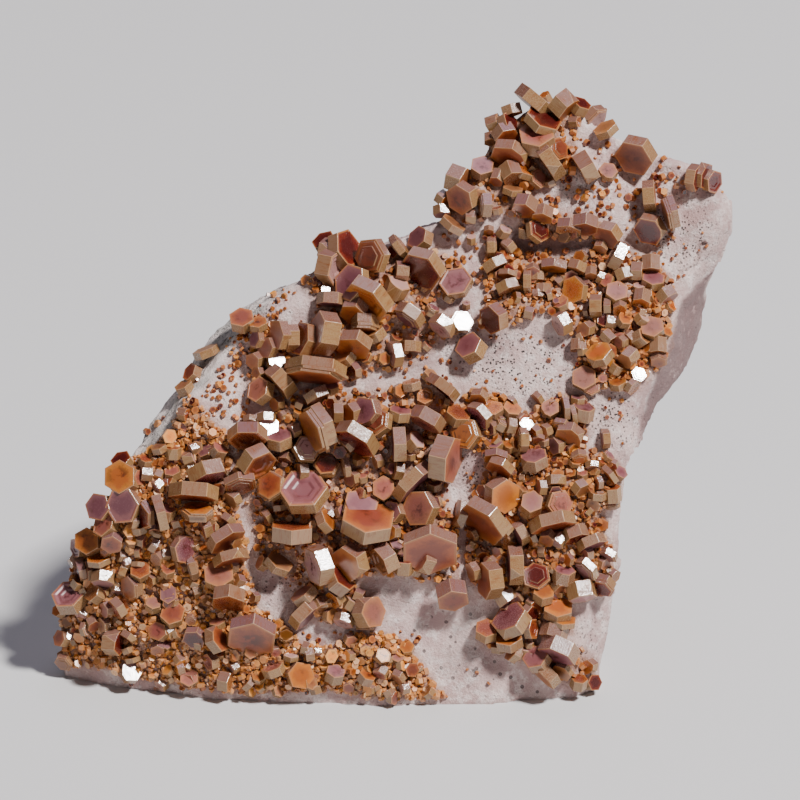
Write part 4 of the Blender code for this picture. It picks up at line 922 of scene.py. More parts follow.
    def own_noise(
        self, recipe: Recipe, local: object, luck: Signal, stretch: Point3, detail: float
    ) -> Signal:
        """Returns noise that is laid out on each crystal and differs from one crystal to the next.

        Args:
            recipe: The material.
            local: The place on the crystal.
            luck: The crystal's own number.
            stretch: How many features there are across the crystal, each way.
            detail: How many finer layers there are.

        Returns:
            The noise, from 0 to 1.
        """
        parts = recipe.node("ShaderNodeSeparateXYZ", {}, {0: local})
        inputs = {
            i: Signal(recipe, parts.outputs[i]) * stretch[i] + luck * self.luck_reach for i in range(3)
        }
        place = recipe.node("ShaderNodeCombineXYZ", {}, inputs)
        return recipe.noise(place.outputs[0], 1.0, detail, self.own_roughness)


# ---- modelling tools


# What an attribute of each type keeps its values in.
ATTRIBUTE_PARTS = {"FLOAT": "value", "FLOAT_VECTOR": "vector", "FLOAT_COLOR": "color"}


class Bench:
    """Modelling steps that several pieces share."""

    @staticmethod
    def take(obj: bpy.types.Object) -> None:
        """Selects one object alone and makes it active.

        Args:
            obj: The object.
        """
        bpy.ops.object.select_all(action="DESELECT")
        obj.select_set(True)
        bpy.context.view_layer.objects.active = obj

    @staticmethod
    def pick(obj: bpy.types.Object, wanted: Callable[[bmesh.types.BMFace], bool]) -> None:
        """Selects the faces that pass a test, in edit mode.

        Args:
            obj: The object being edited.
            wanted: The test.
        """
        bpy.ops.mesh.select_mode(type="FACE")
        bpy.ops.mesh.select_all(action="DESELECT")
        builder = bmesh.from_edit_mesh(obj.data)
        for face in builder.faces:
            face.select_set(wanted(face))
        bmesh.update_edit_mesh(obj.data)

    @staticmethod
    def modify(obj: bpy.types.Object, kind: str, **settings: object) -> None:
        """Adds one modifier and applies it.

        Args:
            obj: The object.
            kind: The modifier's type.
            settings: Its settings.
        """
        Bench.take(obj)
        modifier = obj.modifiers.new(kind.lower(), kind)
        for key, value in settings.items():
            setattr(modifier, key, value)
        bpy.ops.object.modifier_apply(modifier=modifier.name)

    @staticmethod
    def attribute(mesh: bpy.types.Mesh, name: str, kind: str, domain: str, values: np.ndarray) -> None:
        """Writes one attribute of a mesh.

        Args:
            mesh: The mesh.
            name: The attribute's name.
            kind: Its type.
            domain: What carries it, POINT or FACE.
            values: Its values in order.
        """
        layer = mesh.attributes.new(name, kind, domain)
        layer.data.foreach_set(ATTRIBUTE_PARTS[kind], values.astype(np.float32).ravel())


class Habit(Enum):
    """Ways that a tablet grows."""

    PLAIN = "plain"
    RIMMED = "rimmed"
    HOPPER = "hopper"
    STEPPED = "stepped"
    STACKED = "stacked"
    CHIPPED = "chipped"
    CRUMB = "crumb"


# Steps of a tablet's flat ends, from the outside in: (how far in, how far out).
END_STEPS: dict[Habit, list[Point]] = {
    Habit.RIMMED: [(0.045, 0.0), (0.02, -0.014)],
    Habit.HOPPER: [(0.09, 0.0), (0.05, -0.035), (0.09, 0.0), (0.05, -0.03)],
    Habit.STEPPED: [(0.06, 0.0), (0.004, 0.045), (0.11, 0.0), (0.004, 0.03)],
}
# How often each habit turns up among the listed crystals.
LARGE_HABITS: tuple[Habit, ...] = (
    *[Habit.PLAIN] * 6, Habit.RIMMED, Habit.HOPPER, Habit.STEPPED, Habit.STACKED, *[Habit.CHIPPED] * 2,
)


@dataclass
class TabletModel:
    """One tablet, 1 across, as points and triangles that are copied many times."""

    habit: Habit
    across: float = 1.0
    thick: float = 0.32
    bevel: float = 0.008
    # A bevel on an outer edge is smaller than this area and lies outside this radius.
    edge_area: float = 0.0085
    edge_radius: float = 0.42
    # How far the normal of a flat end rises while it is shaped, and when it is coloured.
    end_rise: float = 0.9
    coloured_rise: float = 0.8
    # Faces this close to the highest one are level with it.
    level: float = 0.001
    # Plates stacked on one end: (inset, height, how far it is set aside).
    plates: tuple[tuple[float, float, Point], ...] = (
        (0.02, 0.10, (0.05, 0.02)), (0.06, 0.08, (-0.03, 0.05)),
    )
    neck: float = 0.02
    overhang: float = 1.06
    # Where corners break off: (a point of the break, the way that it faces).
    chips: tuple[tuple[Point3, Point3], ...] = (
        ((0.37, 0.20, 0.10), (0.8, 0.45, 0.4)), ((-0.02, -0.46, -0.08), (0.3, -0.9, -0.3)),
    )
    points: np.ndarray = field(init=False)
    triangles: np.ndarray = field(init=False)
    flat_end: np.ndarray = field(init=False)
    worn: np.ndarray = field(init=False)

    def __post_init__(self) -> None:
        """Models the tablet, reads its mesh and removes the object."""
        bpy.ops.object.select_all(action="DESELECT")
        bpy.ops.mesh.primitive_cylinder_add(vertices=6, radius=self.across / 2, depth=self.thick)
        obj = bpy.context.object
        obj.name = f"tablet_{self.habit.value}"
        bpy.ops.object.mode_set(mode="EDIT")
        self.shape(obj)
        bpy.ops.object.mode_set(mode="OBJECT")
        self.read(obj)
        bpy.data.objects.remove(obj)

    def shape(self, obj: bpy.types.Object) -> None:
        """Shapes the plain hexagonal prism into this habit, in edit mode.

        Args:
            obj: The prism.
        """
        if self.habit is Habit.CRUMB:
            return
        if self.habit in END_STEPS:
            self.step_ends(obj, END_STEPS[self.habit])
        elif self.habit is Habit.STACKED:
            self.stack(obj)
        elif self.habit is Habit.CHIPPED:
            self.chip()
        bpy.ops.mesh.select_all(action="SELECT")
        bpy.ops.mesh.bevel(offset=self.bevel, segments=1, affect="EDGES")

    def step_ends(self, obj: bpy.types.Object, steps: list[Point]) -> None:
        """Insets both flat ends step by step.

        Args:
            obj: The tablet.
            steps: How far in and how far out each step goes.
        """
        for end in (1.0, -1.0):
            Bench.pick(obj, lambda face, end=end: face.normal.z * end > self.end_rise)
            for inset, rise in steps:
                bpy.ops.mesh.inset(thickness=inset, depth=rise)

    def stack(self, obj: bpy.types.Object) -> None:
        """Grows two more plates on one flat end, each a little turned and set aside.

        Args:
            obj: The tablet.
        """
        for inset, height, aside in self.plates:
            Bench.pick(obj, self.on_top(obj))
            bpy.ops.mesh.inset(thickness=inset, depth=0.0)
            for move in ((0.0, 0.0, self.neck), (*aside, 0.0)):
                bpy.ops.mesh.extrude_region_move(TRANSFORM_OT_translate={"value": move})
            bpy.ops.transform.resize(value=(self.overhang, self.overhang, 1.0))
            bpy.ops.mesh.extrude_region_move(TRANSFORM_OT_translate={"value": (0.0, 0.0, height)})

    def chip(self) -> None:
        """Breaks off two corners of the tablet that is being edited."""
        for point, way in self.chips:
            bpy.ops.mesh.select_all(action="SELECT")
            bpy.ops.mesh.bisect(plane_co=point, plane_no=way, use_fill=True, clear_outer=True)

    def on_top(self, obj: bpy.types.Object) -> Callable[[bmesh.types.BMFace], bool]:
        """Returns a test for the highest flat end.

        Args:
            obj: The tablet.

        Returns:
            The test, which takes a face.
        """
        faces = bmesh.from_edit_mesh(obj.data).faces
        bottom = max(face.calc_center_median().z for face in faces) - self.level
        return lambda face: face.normal.z > self.end_rise and face.calc_center_median().z > bottom

    def is_outer_edge(self, face: bmesh.types.BMFace) -> bool:
        """Returns whether a face is a bevel on one of the tablet's outer edges.

        Args:
            face: The face.

        Returns:
            True for such a bevel.
        """
        centre = face.calc_center_median()
        outside = math.hypot(centre.x, centre.y) > self.edge_radius * self.across
        return outside and face.calc_area() < self.edge_area

    def read(self, obj: bpy.types.Object) -> None:
        """Reads points, triangles, which faces are flat ends and which are bevels on the outer edges.

        Args:
            obj: The finished tablet.
        """
        builder = bmesh.new()
        builder.from_mesh(obj.data)
        worn = {face.index for face in builder.faces if self.is_outer_edge(face)}
        origin = builder.faces.layers.int.new("origin")
        for face in builder.faces:
            face[origin] = face.index
        bmesh.ops.triangulate(builder, faces=builder.faces)
        builder.normal_update()
        self.points = np.array([vert.co for vert in builder.verts])
        self.points[:, 2] -= (self.points[:, 2].max() + self.points[:, 2].min()) / 2
        self.points[:, 2] /= np.ptp(self.points[:, 2])
        self.triangles = np.array([[vert.index for vert in face.verts] for face in builder.faces])
        rises = np.array([abs(face.normal.z) for face in builder.faces])
        self.flat_end = (rises > self.coloured_rise).astype(float)
        self.worn = np.array([face[origin] in worn for face in builder.faces], float)
        if self.habit is Habit.CRUMB:
            self.flat_end[:] = 1.0
            self.worn[:] = 0.0
        builder.free()


class CrystalHeap:
    """Placed copies of the tablet models, joined in one mesh."""

    # What each face carries for the finish.
    NUMBERS = ("flat_end", "worn", "luck", "polish", "frosted")
    COLOURS = ("middle", "outer")
    MOST_POLISH = 0.6
    # How much crystals of one tint differ, as a whole and in each part of their colour.
    BRIGHTNESS = (0.78, 1.22)
    HUE = (0.92, 1.08)

    def __init__(self) -> None:
        """Starts empty."""
        self.points: list[np.ndarray] = []
        self.local: list[np.ndarray] = []
        self.triangles: list[np.ndarray] = []
        self.faces: dict[str, list[np.ndarray]] = {name: [] for name in self.NUMBERS + self.COLOURS}
        self.count = 0

    def add(self, model: TabletModel, points: np.ndarray, tint: Tint, draw: random.Random) -> None:
        """Adds one crystal.

        Args:
            model: The tablet model that is copied.
            points: Its points, already placed.
            tint: Its colour.
            draw: Source of its small differences in colour.
        """
        faces = len(model.triangles)
        self.points.append(points)
        self.local.append(model.points)
        self.triangles.append(model.triangles + self.count)
        self.count += len(points)
        self.faces["flat_end"].append(model.flat_end)
        self.faces["worn"].append(model.worn)
        skin = tint.value
        luck = draw.random()
        polish = skin.least_polish
        if tint is not Tint.PAINTED_FLASH:
            polish = max(polish, draw.random() ** 2 * self.MOST_POLISH)
        self.faces["luck"].append(np.full(faces, luck))
        self.faces["polish"].append(np.full(faces, polish))
        self.faces["frosted"].append(np.full(faces, skin.frost * (0.5 + 0.5 * luck)))
        bright = draw.uniform(*self.BRIGHTNESS)
        for name, colour in (("middle", skin.middle), ("outer", skin.outer)):
            shade = [part * bright * draw.uniform(*self.HUE) for part in colour]
            self.faces[name].append(np.tile([*shade, 1.0], (faces, 1)))

    @staticmethod
    def upward(corners: np.ndarray) -> np.ndarray:
        """Returns how far each triangle looks up, from 0 to 1."""
        across = np.cross(corners[:, 1] - corners[:, 0], corners[:, 2] - corners[:, 0])
        return np.clip(across[:, 2] / np.linalg.norm(across, axis=1).clip(1e-15), 0.0, 1.0)

    def build(self, name: str, material: bpy.types.Material) -> bpy.types.Object:
        """Makes the object.

        Args:
            name: Its name.
            material: Its finish.

        Returns:
            The object, which rides on the specimen's body.
        """
        points = np.concatenate(self.points)
        triangles = np.concatenate(self.triangles)
        count = len(triangles)
        mesh = bpy.data.meshes.new(name)
        mesh.vertices.add(len(points))
        mesh.vertices.foreach_set("co", points.astype(np.float32).ravel())
        mesh.loops.add(3 * count)
        mesh.loops.foreach_set("vertex_index", triangles.astype(np.int32).ravel())
        mesh.polygons.add(count)
        mesh.polygons.foreach_set("loop_start", np.arange(0, 3 * count, 3, dtype=np.int32))
        mesh.update(calc_edges=True)
        Bench.attribute(mesh, "crystal", "FLOAT_VECTOR", "POINT", np.concatenate(self.local))
        for key in self.NUMBERS:
            Bench.attribute(mesh, key, "FLOAT", "FACE", np.concatenate(self.faces[key]))
        # How far each face looks up, which drives the painted sheen in the finish.
        Bench.attribute(mesh, "upward", "FLOAT", "FACE", self.upward(points[triangles]))
        for key in self.COLOURS:
            Bench.attribute(mesh, key, "FLOAT_COLOR", "FACE", np.concatenate(self.faces[key]))
        mesh.validate()
        mesh.shade_flat()
        mesh.materials.append(material)
        obj = bpy.data.objects.new(name, mesh)
        bpy.context.scene.collection.objects.link(obj)
        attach(obj, "root")
        LOG.info("%s: %d crystals, %d triangles", name, len(self.points), count)
        return obj


# ---- the rock


@dataclass(frozen=True)
class Zone:
    """A soft oval on the display face."""

    u: float
    v: float
    wide: float
    tall: float
    strength: float = 1.0

    def weight(self, where: np.ndarray) -> np.ndarray:
        """Returns the zone's strength at each (u, v, w)."""
        far = ((where[:, 0] - self.u) / self.wide) ** 2 + ((where[:, 1] - self.v) / self.tall) ** 2
        return self.strength * np.exp(-(far**2))


def inside(outline: list[Point], where: np.ndarray) -> np.ndarray:
    """Returns whether each (u, v) lies within an outline.

    Args:
        outline: Its corners in order.
        where: The points, as rows that start with u and v.

    Returns:
        One truth value for each point.
    """
    u, v = where[:, 0], where[:, 1]
    found = np.zeros(len(where), bool)
    for (u0, v0), (u1, v1) in zip(outline, outline[1:] + outline[:1]):
        if v0 == v1:
            continue
        spans = (v0 > v) != (v1 > v)
        found ^= spans & (u < (u1 - u0) * (v - v0) / (v1 - v0) + u0)
    return found


def line_sides(where: np.ndarray, start: Point, end: Point) -> tuple[np.ndarray, np.ndarray]:
    """Returns how far each point lies left of a line, and how far along it, from 0 to 1.

    Args:
        where: The points, as rows that start with u and v.
        start: Where the line starts.
        end: Where it ends.

    Returns:
        The distances to the left, and the shares of the way along.
    """
    du, dv = end[0] - start[0], end[1] - start[1]
    length = math.hypot(du, dv)
    u, v = where[:, 0] - start[0], where[:, 1] - start[1]
    return (du * v - dv * u) / length, (du * u + dv * v) / length**2


@dataclass
class BariteSlab:
    """The rock: the plain solid remeshed fine, with broken, pitted and striated surfaces."""

    merge_mm: float = 0.01
    voxel_mm: float = 0.56
    smooth_factor: float = 0.5
    smooth_steps: int = 3
    crease: float = math.radians(50.0)
    # What is lower than this and looks down this far is the flat cut.
    underside_mm: float = 0.35
    underside_facing: float = -0.3
    # The relief fades to this share of itself towards the cut, over this height.
    foot_relief: float = 0.15
    foot_mm: float = 3.0
    # The ground between crystals stands out, with waves of (share of it, size in mm).
    crust_mm: float = 0.9
    crust_even: float = 0.75
    crust_waves: Point = (0.6, 2.2)
    # Relief of each surface: (depth in mm, size of its bumps in mm).
    face_relief: tuple[Point, ...] = ((0.5, 7.0), (0.28, 2.6), (0.14, 1.0))
    # Fracture planes of the broken sides: (steepness, size in mm), and the grain over them.
    fractures: tuple[Point, ...] = ((0.42, 12.0), (0.40, 5.0))
    # How far apart in the noise the planes' tilts are taken.
    tilt_spread: float = 3.7
    # Noise vectors differ from run to run unless their seed is set.
    fracture_seed: int = 1
    fracture_grain: Point = (0.22, 1.4)
    fracture_inset_mm: float = 0.3
    # What looks out less than this is broken, and more so the less it does.
    broken_facing: float = 0.35
    broken_slope: float = 1.2
    # Striae of the weathered side: (depth in mm, size in mm, how far they are drawn out).
    striae: Point3 = (0.45, 1.1, 0.8)
    # How much of the broken relief the weathering takes off.
    worn_share: float = 0.6
    weathered_edge: tuple[Point, Point] = ((-38.6, 41.0), (-17.0, 68.0))
    weathered_fade_mm: float = 1.6
    # Where the weathered side ends below and on the right: (v or u, over how many mm it fades).
    weathered_low: Point = (30.0, 10.0)
    weathered_right: Point = (-9.0, 6.0)
    # How far out a zone's surface looks at least, and how steeply the zone sets in.
    weathered_facing: Point = (-0.85, 1.4)
    side_facing: Point = (-0.16, 2.5)
    ragged_mm: float = 5.0
    raggedness: float = 1.4
    # Where the display face ends on its right and the broken side begins: (v, u).
    side_edge: tuple[Point, ...] = ((41.0, 36.6), (51.4, 40.3), (64.8, 44.8), (71.4, 51.7))
    side_fade_mm: float = 0.7
    # How far above its foot the side is fully there, and how far past its top it still is.
    side_ends_mm: Point = (4.0, 2.0)
    crack: tuple[Point, Point] = ((49.0, 74.2), (44.6, 67.8))
    crack_mm: float = 0.9
    crack_wide_mm: float = 0.42
    # The crack wavers by this much, and this often along its length.
    crack_waver: Point = (0.5, 9.0)
    # Where the sides bulge: (u, v, how far around in mm, how much in mm).
    bulges: tuple[tuple[float, float, float, float], ...] = (
        (52.0, 79.5, 4.5, 0.9), (47.6, 58.5, 6.0, 1.3), (45.0, 52.0, 4.0, 0.8),
    )
    # Lines that bring the skyline down, each running right.
    skyline: tuple[tuple[Point, Point], ...] = (
        ((30.6, 93.3), (40.6, 87.9)), ((40.6, 87.9), (48.0, 86.6)), ((-4.0, 74.2), (3.0, 75.8)),
    )
    # Painted shade under ledges and under crystals.
    painted_shade_zones: tuple[Zone, ...] = (
        Zone(22.0, 74.5, 9.0, 2.2), Zone(27.0, 69.2, 8.0, 2.0), Zone(33.5, 73.0, 5.0, 2.0, 0.8),
        Zone(13.0, 57.6, 4.0, 3.0, 0.5), Zone(2.0, 55.0, 5.0, 3.0, 0.4), Zone(-3.0, 18.0, 5.0, 3.0, 0.5),
        Zone(12.0, 7.5, 6.0, 2.5, 0.35), Zone(49.0, 78.0, 6.0, 7.0, 0.3),
    )
    speck_zones: tuple[Zone, ...] = (
        Zone(20.0, 54.5, 8.0, 6.5), Zone(11.0, 57.0, 6.0, 4.0, 0.8), Zone(34.0, 46.0, 5.0, 5.5),
        Zone(11.0, 38.0, 4.0, 5.0, 0.9), Zone(-25.0, 62.0, 7.0, 5.0, 0.8), Zone(3.0, 44.0, 5.0, 5.0, 0.7),
        Zone(-20.0, 19.0, 5.0, 4.0, 0.7), Zone(30.0, 84.0, 9.0, 5.0, 0.6), Zone(30.5, 9.0, 3.0, 6.0, 0.8),
        Zone(45.0, 76.0, 6.0, 7.0), Zone(41.0, 64.0, 3.0, 5.0),
    )
    dot_zones: tuple[Zone, ...] = (Zone(6.0, 9.5, 15.0, 8.0), Zone(20.0, 3.0, 6.0, 3.0))

    def build(self, node: bpy.types.Object, material: bpy.types.Material) -> bpy.types.Object:
        """Makes the dressed rock.

        Args:
            node: The plain solid that it stands for.
            material: Its finish.

        Returns:
            The rock.
        """
        low, high = (np.array(corner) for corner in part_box("matrix"))
        rock = self.refined(node)
        mesh = rock.data
        points = self.read(mesh.vertices, "co")
        normals = self.read(mesh.vertices, "normal")
        where = FACE.coordinates(points)
        zones = self.zones(where, normals)
        depth = self.relief(where, normals, zones)
        depth *= np.clip(points[:, 2] / (self.foot_mm * MM), self.foot_relief, 1.0)
        moved = np.clip(points + normals * depth[:, None] * MM, low, high)
        under = (points[:, 2] < self.underside_mm * MM) & (normals[:, 2] < self.underside_facing)
        moved[under, 2] = 0.0
        mesh.vertices.foreach_set("co", moved.astype(np.float32).ravel())
        mesh.update()
        for name, values in zones.items():
            Bench.attribute(mesh, name, "FLOAT", "POINT", values)
        mesh.materials.clear()
        mesh.materials.append(material)
        Bench.take(rock)
        bpy.ops.object.shade_smooth_by_angle(angle=self.crease)
        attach(rock, "root")
        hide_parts("matrix")
        LOG.info("barite_slab: %d faces", len(mesh.polygons))
        return rock

    def refined(self, node: bpy.types.Object) -> bpy.types.Object:
        """Makes a copy of the plain solid with small even faces, and its outline set right.

        Args:
            node: The plain solid.

        Returns:
            The copy.
        """
        rock = bpy.data.objects.new("barite_slab", node.data.copy())
        bpy.context.scene.collection.objects.link(rock)
        Bench.take(rock)
        bpy.ops.object.mode_set(mode="EDIT")
        bpy.ops.mesh.select_all(action="SELECT")
        bpy.ops.mesh.remove_doubles(threshold=self.merge_mm * MM)
        bpy.ops.object.mode_set(mode="OBJECT")
        Bench.modify(rock, "REMESH", mode="VOXEL", voxel_size=self.voxel_mm * MM)
        self.fit_outline(rock.data)
        Bench.modify(rock, "REMESH", mode="VOXEL", voxel_size=self.voxel_mm * MM)
        Bench.modify(rock, "SMOOTH", factor=self.smooth_factor, iterations=self.smooth_steps)
        return rock

    @staticmethod
    def read(items: bpy.types.bpy_prop_collection, name: str) -> np.ndarray:
        """Reads one vector property of every vertex.

        Args:
            items: The mesh's vertices.
            name: The property.

        Returns:
            One row for each vertex.
        """
        values = np.empty(len(items) * 3, np.float32)
        items.foreach_get(name, values)
        return values.reshape(-1, 3).astype(float)

    def fit_outline(self, mesh: bpy.types.Mesh) -> None:
        """Lets the right side bulge, and brings what stands above the skyline down onto it.

        Args:
            mesh: The rock's mesh.
        """
        points = self.read(mesh.vertices, "co")
        where = FACE.coordinates(points)
        for u, v, around, much in self.bulges:
            near = np.exp(-((where[:, 0] - u) ** 2 + (where[:, 1] - v) ** 2) / around**2)
            points += (much * near)[:, None] * np.array(FACE.right) * MM
        for start, end in self.skyline:
            above, along = line_sides(where, start, end)
            above = np.clip(above, 0.0, None) * (along > 0.0) * (along < 1.0)
            down = FACE.right * (end[1] - start[1]) - FACE.up * (end[0] - start[0])
            points += above[:, None] * np.array(down.normalized()) * MM
        mesh.vertices.foreach_set("co", points.astype(np.float32).ravel())
        mesh.update()

    def zones(self, where: np.ndarray, normals: np.ndarray) -> dict[str, np.ndarray]:
        """Returns how strongly each kind of surface shows at each point.

        Args:
            where: The points, as (u, v, w).
            normals: The way that the rock faces at each.

        Returns:
            The strengths by the name of the attribute that carries them.
        """
        facing = normals @ np.array(FACE.out)
        front = np.clip(facing * 2.0, 0.0, 1.0)
        ragged = np.array([noise.noise(Vector(point) / self.ragged_mm) for point in where])
        weathered = self.weathered(where, facing, ragged)
        # Painted shade: the shade zones, plus the broken right side, which faces away from the main lamp.
        shade = sum(zone.weight(where) for zone in self.painted_shade_zones) * front
        return {
            "weathered": weathered,
            "stained": self.crust(where) * front * (1.0 - self.worn_share * weathered),
            "shade": np.clip(shade + self.broken_side(where, facing, ragged), 0.0, 1.0),
            "specked": np.clip(sum(zone.weight(where) for zone in self.speck_zones), 0, 1) * front,
            "dotted": np.clip(sum(zone.weight(where) for zone in self.dot_zones), 0, 1) * front,
        }

    def weathered(self, where: np.ndarray, facing: np.ndarray, ragged: np.ndarray) -> np.ndarray:
        """Returns how weathered each point is: those behind the face's upper left edge.

        Args:
            where: The points, as (u, v, w).
            facing: How far each looks out.
            ragged: Noise for an uneven border.

        Returns:
            The share at each point.
        """
        left, _ = line_sides(where, *self.weathered_edge)
        low_v, fade_v = self.weathered_low
        high_u, fade_u = self.weathered_right
        least, steepness = self.weathered_facing
        uneven = ragged * self.raggedness
        share = np.clip(left / self.weathered_fade_mm + 0.2, 0.0, 1.0)
        share *= np.clip((where[:, 1] - low_v) / fade_v + uneven, 0.0, 1.0)
        share *= np.clip((high_u - where[:, 0]) / fade_u + uneven, 0.0, 1.0)
        return share * np.clip((facing - least) * steepness + ragged, 0.0, 1.0)

    def crust(self, where: np.ndarray) -> np.ndarray:
        """Returns how far each point lies in a druse, softened over 1 mm at its outline.

        Args:
            where: The points, as (u, v, w).

        Returns:
            The share at each point, from 0 to 1.
        """
        looks = ((0, 0), (1, 0), (-1, 0), (0, 1), (0, -1))
        found = np.zeros(len(where))
        for aside in looks:
            moved = where + np.array((*aside, 0))
            within = np.any([inside(outline, moved) for outline in OUTLINES.values()], axis=0)
            found += within / len(looks)
        return found

    def broken_side(self, where: np.ndarray, facing: np.ndarray, ragged: np.ndarray) -> np.ndarray:
        """Returns how far each point lies on the broken side right of the display face, which gets painted
        shade.

        Args:
            where: The points, as (u, v, w).
            facing: How far each looks out.
            ragged: Noise for an uneven border.

        Returns:
            The share at each point.
        """
        edge_v, edge_u = np.array(self.side_edge).T
        foot, top = self.side_ends_mm
        beyond = where[:, 0] - np.interp(where[:, 1], edge_v, edge_u)
        share = np.clip(beyond / self.side_fade_mm, 0.0, 1.0)
        share *= np.clip((where[:, 1] - edge_v[0]) / foot, 0.0, 1.0)
        share *= where[:, 1] < edge_v[-1] + top
        least, steepness = self.side_facing
        return share * np.clip((facing - least) * steepness + ragged, 0.0, 1.0)

    def relief(self, where: np.ndarray, normals: np.ndarray, zones: dict[str, np.ndarray]) -> np.ndarray:
        """Returns how far each point moves out along its normal, in mm.

        Args:
            where: The points, as (u, v, w).
            normals: The way that the rock faces at each.
            zones: The kinds of surface.

        Returns:
            The distances.
        """
        broken = np.clip(self.broken_facing - normals @ np.array(FACE.out) * self.broken_slope, 0.0, 1.0)
        weathered = zones["weathered"]
        (left_u, low_v), (right_u, high_v) = self.weathered_edge
        crest = Vector((right_u - left_u, high_v - low_v, 0.0)).normalized()
        striae_mm, striae_size, drawn_out = self.striae
        wave, wave_size = self.crust_waves
        depth = np.empty(len(where))
        noise.seed_set(self.fracture_seed)
        for i, place in enumerate(where):
            point = Vector(place)
            depth[i] = sum(high * noise.noise(point / size) for high, size in self.face_relief)
            crust = self.crust_even + wave * noise.noise(point / wave_size)
            depth[i] += self.crust_mm * zones["stained"][i] * crust
            if broken[i] > 0.0:
                rough = self.fracture(point)
                depth[i] += (rough - depth[i]) * broken[i] * (1.0 - self.worn_share * weathered[i])
            if weathered[i] > 0.0:
                drawn = point - crest * point.dot(crest) * drawn_out
                depth[i] += striae_mm * weathered[i] * noise.noise(drawn / striae_size)
        return depth - self.crack_depth(where)

    def crack_depth(self, where: np.ndarray) -> np.ndarray:
        """Returns how deep the crack at the upper right is.

        Args:
            where: The points, as (u, v, w).

        Returns:
            The depth at each point, in mm.
        """
        waver, waves = self.crack_waver
        beside, along = line_sides(where, *self.crack)
        beside += waver * np.sin(along * waves)
        open_here = np.exp(-((beside / self.crack_wide_mm) ** 2)) * (along > 0.0) * (along < 1.0)
        return self.crack_mm * open_here

    def fracture(self, point: Vector) -> float:
        """Returns the height of the broken rock, which is made of tilted planes, in mm.

        Args:
            point: The place, as (u, v, w).

        Returns:
            The height.
        """
        high, grain_size = self.fracture_grain
        height = high * noise.noise(point / grain_size) - self.fracture_inset_mm
        for steepness, size in self.fractures:
            seed = noise.voronoi(point / size)[1][0]
            tilt = noise.noise_vector(seed * self.tilt_spread)
            height += steepness * size * (point / size - seed).dot(tilt)
        return height


class RockFace:
    """Finds how far out the dressed rock stands along a line of sight."""

    FAR_MM = 60.0
    # How far around a place off the rock is searched, in turn, and how the rock falls there.
    REACHES_MM = (0.0, 0.7, 1.5, 2.5, 3.5, 5.0, 7.0)
    EDGE_FALL = 0.4

    def __init__(self, rock: bpy.types.Object) -> None:
        """Builds the search tree."""
        self.tree = BVHTree.FromObject(rock, bpy.context.evaluated_depsgraph_get())

    def height(self, u: float, v: float) -> float | None:
        """Returns w of the rock at a place of the face.

        Args:
            u: How far right the place is, in mm.
            v: How far up the place is, in mm.

        Returns:
            w in mm, or None where there is no rock.
        """
        origin = FACE.place(u, v, self.FAR_MM)
        hit = self.tree.ray_cast(origin, -FACE.out)[0]
        return None if hit is None else self.FAR_MM - (origin - hit).length / MM

    def nearest(self, u: float, v: float) -> float:
        """Returns w of the rock at a place, or just inside its edge for a place off it.

        Args:
            u: How far right the place is, in mm.
            v: How far up the place is, in mm.

        Returns:
            w in mm.
        """
        for reach in self.REACHES_MM:
            found = []
            for angle in range(0, 360, 45):
                aside = Vector((math.cos(math.radians(angle)), math.sin(math.radians(angle)))) * reach
                height = self.height(u + aside.x, v + aside.y)
                if height is not None:
                    found.append(height)
            if found:
                return max(found) - self.EDGE_FALL * reach
        raise ValueError(f"no rock near {u}, {v}")


# ---- the crystals


@dataclass(frozen=True)
class Sprinkle:
    """Small crystals strewn over a druse."""

    spacing: float
    smallest: float
    largest: float
    share: float = 1.0


@dataclass(frozen=True)
class Druse:
    """How densely one druse is covered between its large crystals."""

    name: str
    seed: int
    sprinkles: tuple[Sprinkle, ...]
    tints: str
    crumb_tints: str


DRUSES: tuple[Druse, ...] = (
    Druse(
        "lower_left_druse", 11,
        (Sprinkle(2.3, 1.5, 2.6, 0.6), Sprinkle(1.05, 0.8, 1.5, 0.75), Sprinkle(0.64, 0.45, 0.9, 0.85)),
        "bohhhptt", "hhhhssso",
    ),
    Druse(
        "centre_druse", 12,
        (Sprinkle(2.9, 1.6, 2.9, 0.40), Sprinkle(1.25, 0.8, 1.5, 0.5), Sprinkle(0.8, 0.4, 0.9, 0.6)),
        "bbboorptm", "oohhbrs",
    ),
    Druse(
        "crest_druse", 13,
        (Sprinkle(2.7, 1.4, 2.6, 0.35), Sprinkle(1.25, 0.7, 1.4, 0.5), Sprinkle(0.9, 0.4, 0.8, 0.55)),
        "bboorpt", "oohhbrs",
    ),
    Druse(
        "right_druse", 14,
        (Sprinkle(2.1, 1.4, 2.5, 0.7), Sprinkle(1.1, 0.7, 1.5, 0.8), Sprinkle(0.72, 0.4, 0.9, 0.75)),
        "bboooptr", "oohhbrst",
    ),
    Druse(
        "lower_right_cluster", 15,
        (Sprinkle(2.6, 1.4, 2.4, 0.35), Sprinkle(1.3, 0.6, 1.3, 0.45)),
        "bboptm", "oohhb",
    ),
    Druse(
        "upper_left_cluster", 16,
        (Sprinkle(2.4, 1.4, 2.6, 0.4), Sprinkle(1.3, 0.7, 1.4, 0.45), Sprinkle(0.9, 0.4, 0.8, 0.4)),
        "bboptt", "oohhbs",
    ),
    Druse(
        "upper_right_cluster", 17,
        (Sprinkle(2.2, 1.4, 2.6, 0.6), Sprinkle(1.1, 0.7, 1.5, 0.7), Sprinkle(0.75, 0.4, 0.9, 0.65)),
        "bbooopr", "oohhbrs",
    ),
)


